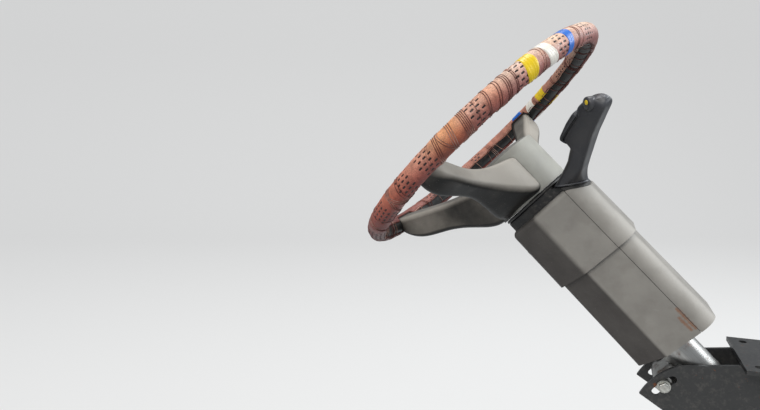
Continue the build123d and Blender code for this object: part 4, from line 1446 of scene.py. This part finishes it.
# for the plastics, the first colour is the painted shade and the second the painted light
finishes = {
    "shroud_grey": moulded(
        "shroud_grey", seen(76, 72, 70), seen(172, 168, 161), 0.05, 1.0, 0.54, stains_and_shade_spots=STAINS
    ),
    "hub_grey": moulded("hub_grey", seen(40, 39, 38), seen(162, 161, 153), 0.0, 0.6, 0.5),
    "spoke_grey": moulded("spoke_grey", seen(14, 14, 15), seen(160, 154, 145), 0.24, 0.9, 0.5),
    "pad_grey": moulded("pad_grey", seen(70, 70, 70), seen(120, 119, 115), -0.2, 0.9, 0.6, 1.4, 0.09),
    "housing_black": moulded("housing_black", seen(24, 24, 26), seen(52, 52, 53), -0.1, 1.0, 0.5, 0.9),
    "lever_black": moulded(
        "lever_black", seen(36, 37, 43), seen(96, 97, 102), rough=0.36, relief=0.03, handled=0.5,
        stains_and_shade_spots=SLIT_SHADE_SPOTS, **HANDLE
    ),
    "paddle_black": moulded(
        "paddle_black", seen(42, 43, 49), seen(92, 93, 98), rough=0.34, relief=0.03, **HANDLE
    ),
    "button_black": moulded(
        "button_black", seen(44, 45, 50), seen(88, 88, 92), rough=0.3, relief=0.02, **HANDLE
    ),
    "boot_rubber": rubber("boot_rubber", seen(26, 26, 27), 0.6),
    "rim_black": rubber("rim_black", seen(7, 7, 8), 0.62, (24, 23, 23)),
    "bush_plastic": moulded(
        "bush_plastic", seen(170, 164, 146), seen(206, 200, 182), -0.5, 1.0, 0.5, 1.2, 0.03
    ),
    "zinc_steel": metal("zinc_steel", seen(196, 196, 190), 0.38, 0.25),
    "tube_steel": metal("tube_steel", seen(168, 168, 166), 0.34, 0.45),
    "bearing_steel": metal("bearing_steel", seen(205, 205, 205), 0.25, 0.05),
    "boss_metal": metal("boss_metal", seen(178, 178, 176), 0.5, 0.0),
    "bracket_steel": painted_steel("bracket_steel"),
    "cover_leather": leather("cover_leather"),
    "band_yellow": leather("band_yellow", seen(242, 208, 26), 0.34, **BAND),
    "band_white": leather("band_white", seen(240, 236, 228), 0.38, **BAND),
    "band_blue": leather("band_blue", seen(14, 102, 200), 0.34, **BAND),
}
thread_finish = cord("thread", seen(208, 166, 152))
lace_finish = cord("lace", seen(196, 150, 132))
print("finishes", len(finishes) + 2)

# %% [markdown]
# The solids take the finish of their slot in the record. The new pieces share those finishes, apart from
# the thread and the lace, which have their own.

# %% Dress every piece
DRESSED = {
    "cover_leather": "cover_leather",
    "band_yellow_leather": "band_yellow",
    "band_white_leather": "band_white",
    "band_blue_leather": "band_blue",
    "pivot_nuts": "zinc_steel",
    "clamp_nuts": "zinc_steel",
    "slide_clamp_bolt": "zinc_steel",
    "lower_shroud_screws": "zinc_steel",
    "upper_shroud_screws": "zinc_steel",
    "pad_dome": "pad_grey",
    "dust_seal": "boot_rubber",
    "lower_seam_strips": "boot_rubber",
    "upper_seam_strips": "boot_rubber",
    "trigger_slot": "boot_rubber",
    "lever_grip_skin": "lever_black",
    "lever_trigger": "paddle_black",
    "lever_push_button": "button_black",
    "button_mark": "band_yellow",
    "bracket_welds": "bracket_steel",
    "jacket_welds": "tube_steel",
}


def dress(item, material):
    """Give an object one material."""
    item.data.materials.clear()
    item.data.materials.append(material)


for name, item in nodes.items():
    dress(item, finishes[slot_of[name]])
for name, slot in DRESSED.items():
    dress(bpy.data.objects[name], finishes[slot])
dress(bpy.data.objects["cover_thread"], thread_finish)
dress(bpy.data.objects["cover_lace"], lace_finish)
print("dressed", len(nodes), "solids and", len(DRESSED) + 2, "new pieces")

# %% [markdown]
# The floor is a plain pale sheet that curves up behind the object, like paper in a studio: flat, then
# a quarter circle, then straight up. It is turned with the camera, so the bend runs level in the picture.

# %% Floor and backdrop
FLOOR = -0.40
FLOOR_NEAR, FLOOR_FAR = -4.0, 3.0
BEND = 1.5
WALL_TOP = 5.0
HALF_WIDTH = 6.0


def cove():
    """Floor points in pairs: flat to the bend, then the bend's sine and one less its cosine, then up."""
    run = np.linspace(FLOOR_NEAR, FLOOR_FAR, 8)
    turn = np.linspace(0.0, np.pi / 2, 17)
    y = np.concatenate([run, FLOOR_FAR + BEND * np.sin(turn[1:]), [FLOOR_FAR + BEND]])
    z = np.concatenate([0 * run, BEND - BEND * np.cos(turn[1:]), [WALL_TOP]])
    yy, xx = np.meshgrid(y, np.array([-HALF_WIDTH, HALF_WIDTH]), indexing="ij")
    zz = np.repeat(z[:, None], 2, axis=1)
    tilt = math.radians(CAMERA_TURN)
    across = xx * math.cos(tilt) - yy * math.sin(tilt)
    deep = xx * math.sin(tilt) + yy * math.cos(tilt)
    return np.stack([across, deep, zz], -1) + np.array([wheel_middle[0], 0.0, FLOOR])


grid = cove()
floor_faces = [(2 * i, 2 * i + 2, 2 * i + 3, 2 * i + 1) for i in range(len(grid) - 1)]
floor_mesh = bpy.data.meshes.new("floor")
floor_mesh.from_pydata(grid.reshape(-1, 3).tolist(), [], floor_faces)
floor_mesh.shade_smooth()
floor = bpy.data.objects.new("floor", floor_mesh)
scene.collection.objects.link(floor)
print("floor", len(floor_faces), "faces")

# %% [markdown]
# The camera and mirror-like surfaces see the paper pale, and a glow for the camera alone lifts it
# towards white. Other rays see it darker, so it throws little light back up under the shrouds. The world
# works in the same way: the camera sees it as pale as the paper, and the object gets a dim, even light.

# %% Paper and world
PAPER_DIM = (0.22, 0.22, 0.22, 1)
PAPER_MIRRORED = (0.7, 0.7, 0.69, 1)
PAPER_SEEN = (0.28, 0.28, 0.275, 1)
PAPER_GLOW = 0.52
SKY_LIGHT = (0.46, 0.48, 0.5, 1)
SKY_SEEN = (0.7, 0.705, 0.705, 1)

paper = bpy.data.materials.new("paper")
paper.use_nodes = True
tree = paper.node_tree
ray = node(tree, "LightPath").outputs
paper_colour = mixed(tree, ray["Is Glossy Ray"], PAPER_DIM, PAPER_MIRRORED)
paper_colour = mixed(tree, ray["Is Camera Ray"], paper_colour, PAPER_SEEN)
glow = mixed(tree, ray["Is Camera Ray"], (0, 0, 0, 1), (1, 1, 1, 1))
paper_shader = tree.nodes["Principled BSDF"]
tree.links.new(paper_colour, paper_shader.inputs["Base Color"])
tree.links.new(glow, paper_shader.inputs["Emission Color"])
paper_shader.inputs["Roughness"].default_value = 0.9
paper_shader.inputs["Emission Strength"].default_value = PAPER_GLOW
floor_mesh.materials.append(paper)

world = bpy.data.worlds.new("studio")
world.use_nodes = True
tree = world.node_tree
sky = mixed(tree, node(tree, "LightPath").outputs["Is Camera Ray"], SKY_LIGHT, SKY_SEEN)
tree.links.new(sky, tree.nodes["Background"].inputs["Color"])
tree.nodes["Background"].inputs["Strength"].default_value = 1.0
scene.world = world
print("paper and world", paper.name, world.name)

# %% [markdown]
# A large soft lamp stands ahead of the wheel, a weaker one on the driver's right, and one hangs overhead.
# They are square areas turned to the middle of the wheel, and the camera doesn't see them.

# %% Lamps
LAMPS = (
    # name, place beside the middle of the wheel, size in metres, power in watts, colour
    ("ahead", (1.9, 0.6, 1.3), 1.6, 52.0, (0.93, 0.97, 1.0)),
    ("right_side", (-0.6, -2.2, 1.6), 1.6, 30.0, (1.0, 0.97, 0.93)),
    ("overhead", (-0.3, 0.6, 2.2), 1.4, 26.0, (1.0, 1.0, 1.0)),
)
for name, place, size, power, colour in LAMPS:
    data = bpy.data.lights.new(name, "AREA")
    data.size = size
    data.energy = power
    data.color = colour
    item = bpy.data.objects.new(name, data)
    item.location = wheel_middle + np.array(place)
    item.visible_camera = False
    item.rotation_euler = (-Vector(place)).to_track_quat("-Z", "Y").to_euler()
    scene.collection.objects.link(item)
    print("lamp", name, power, "W")
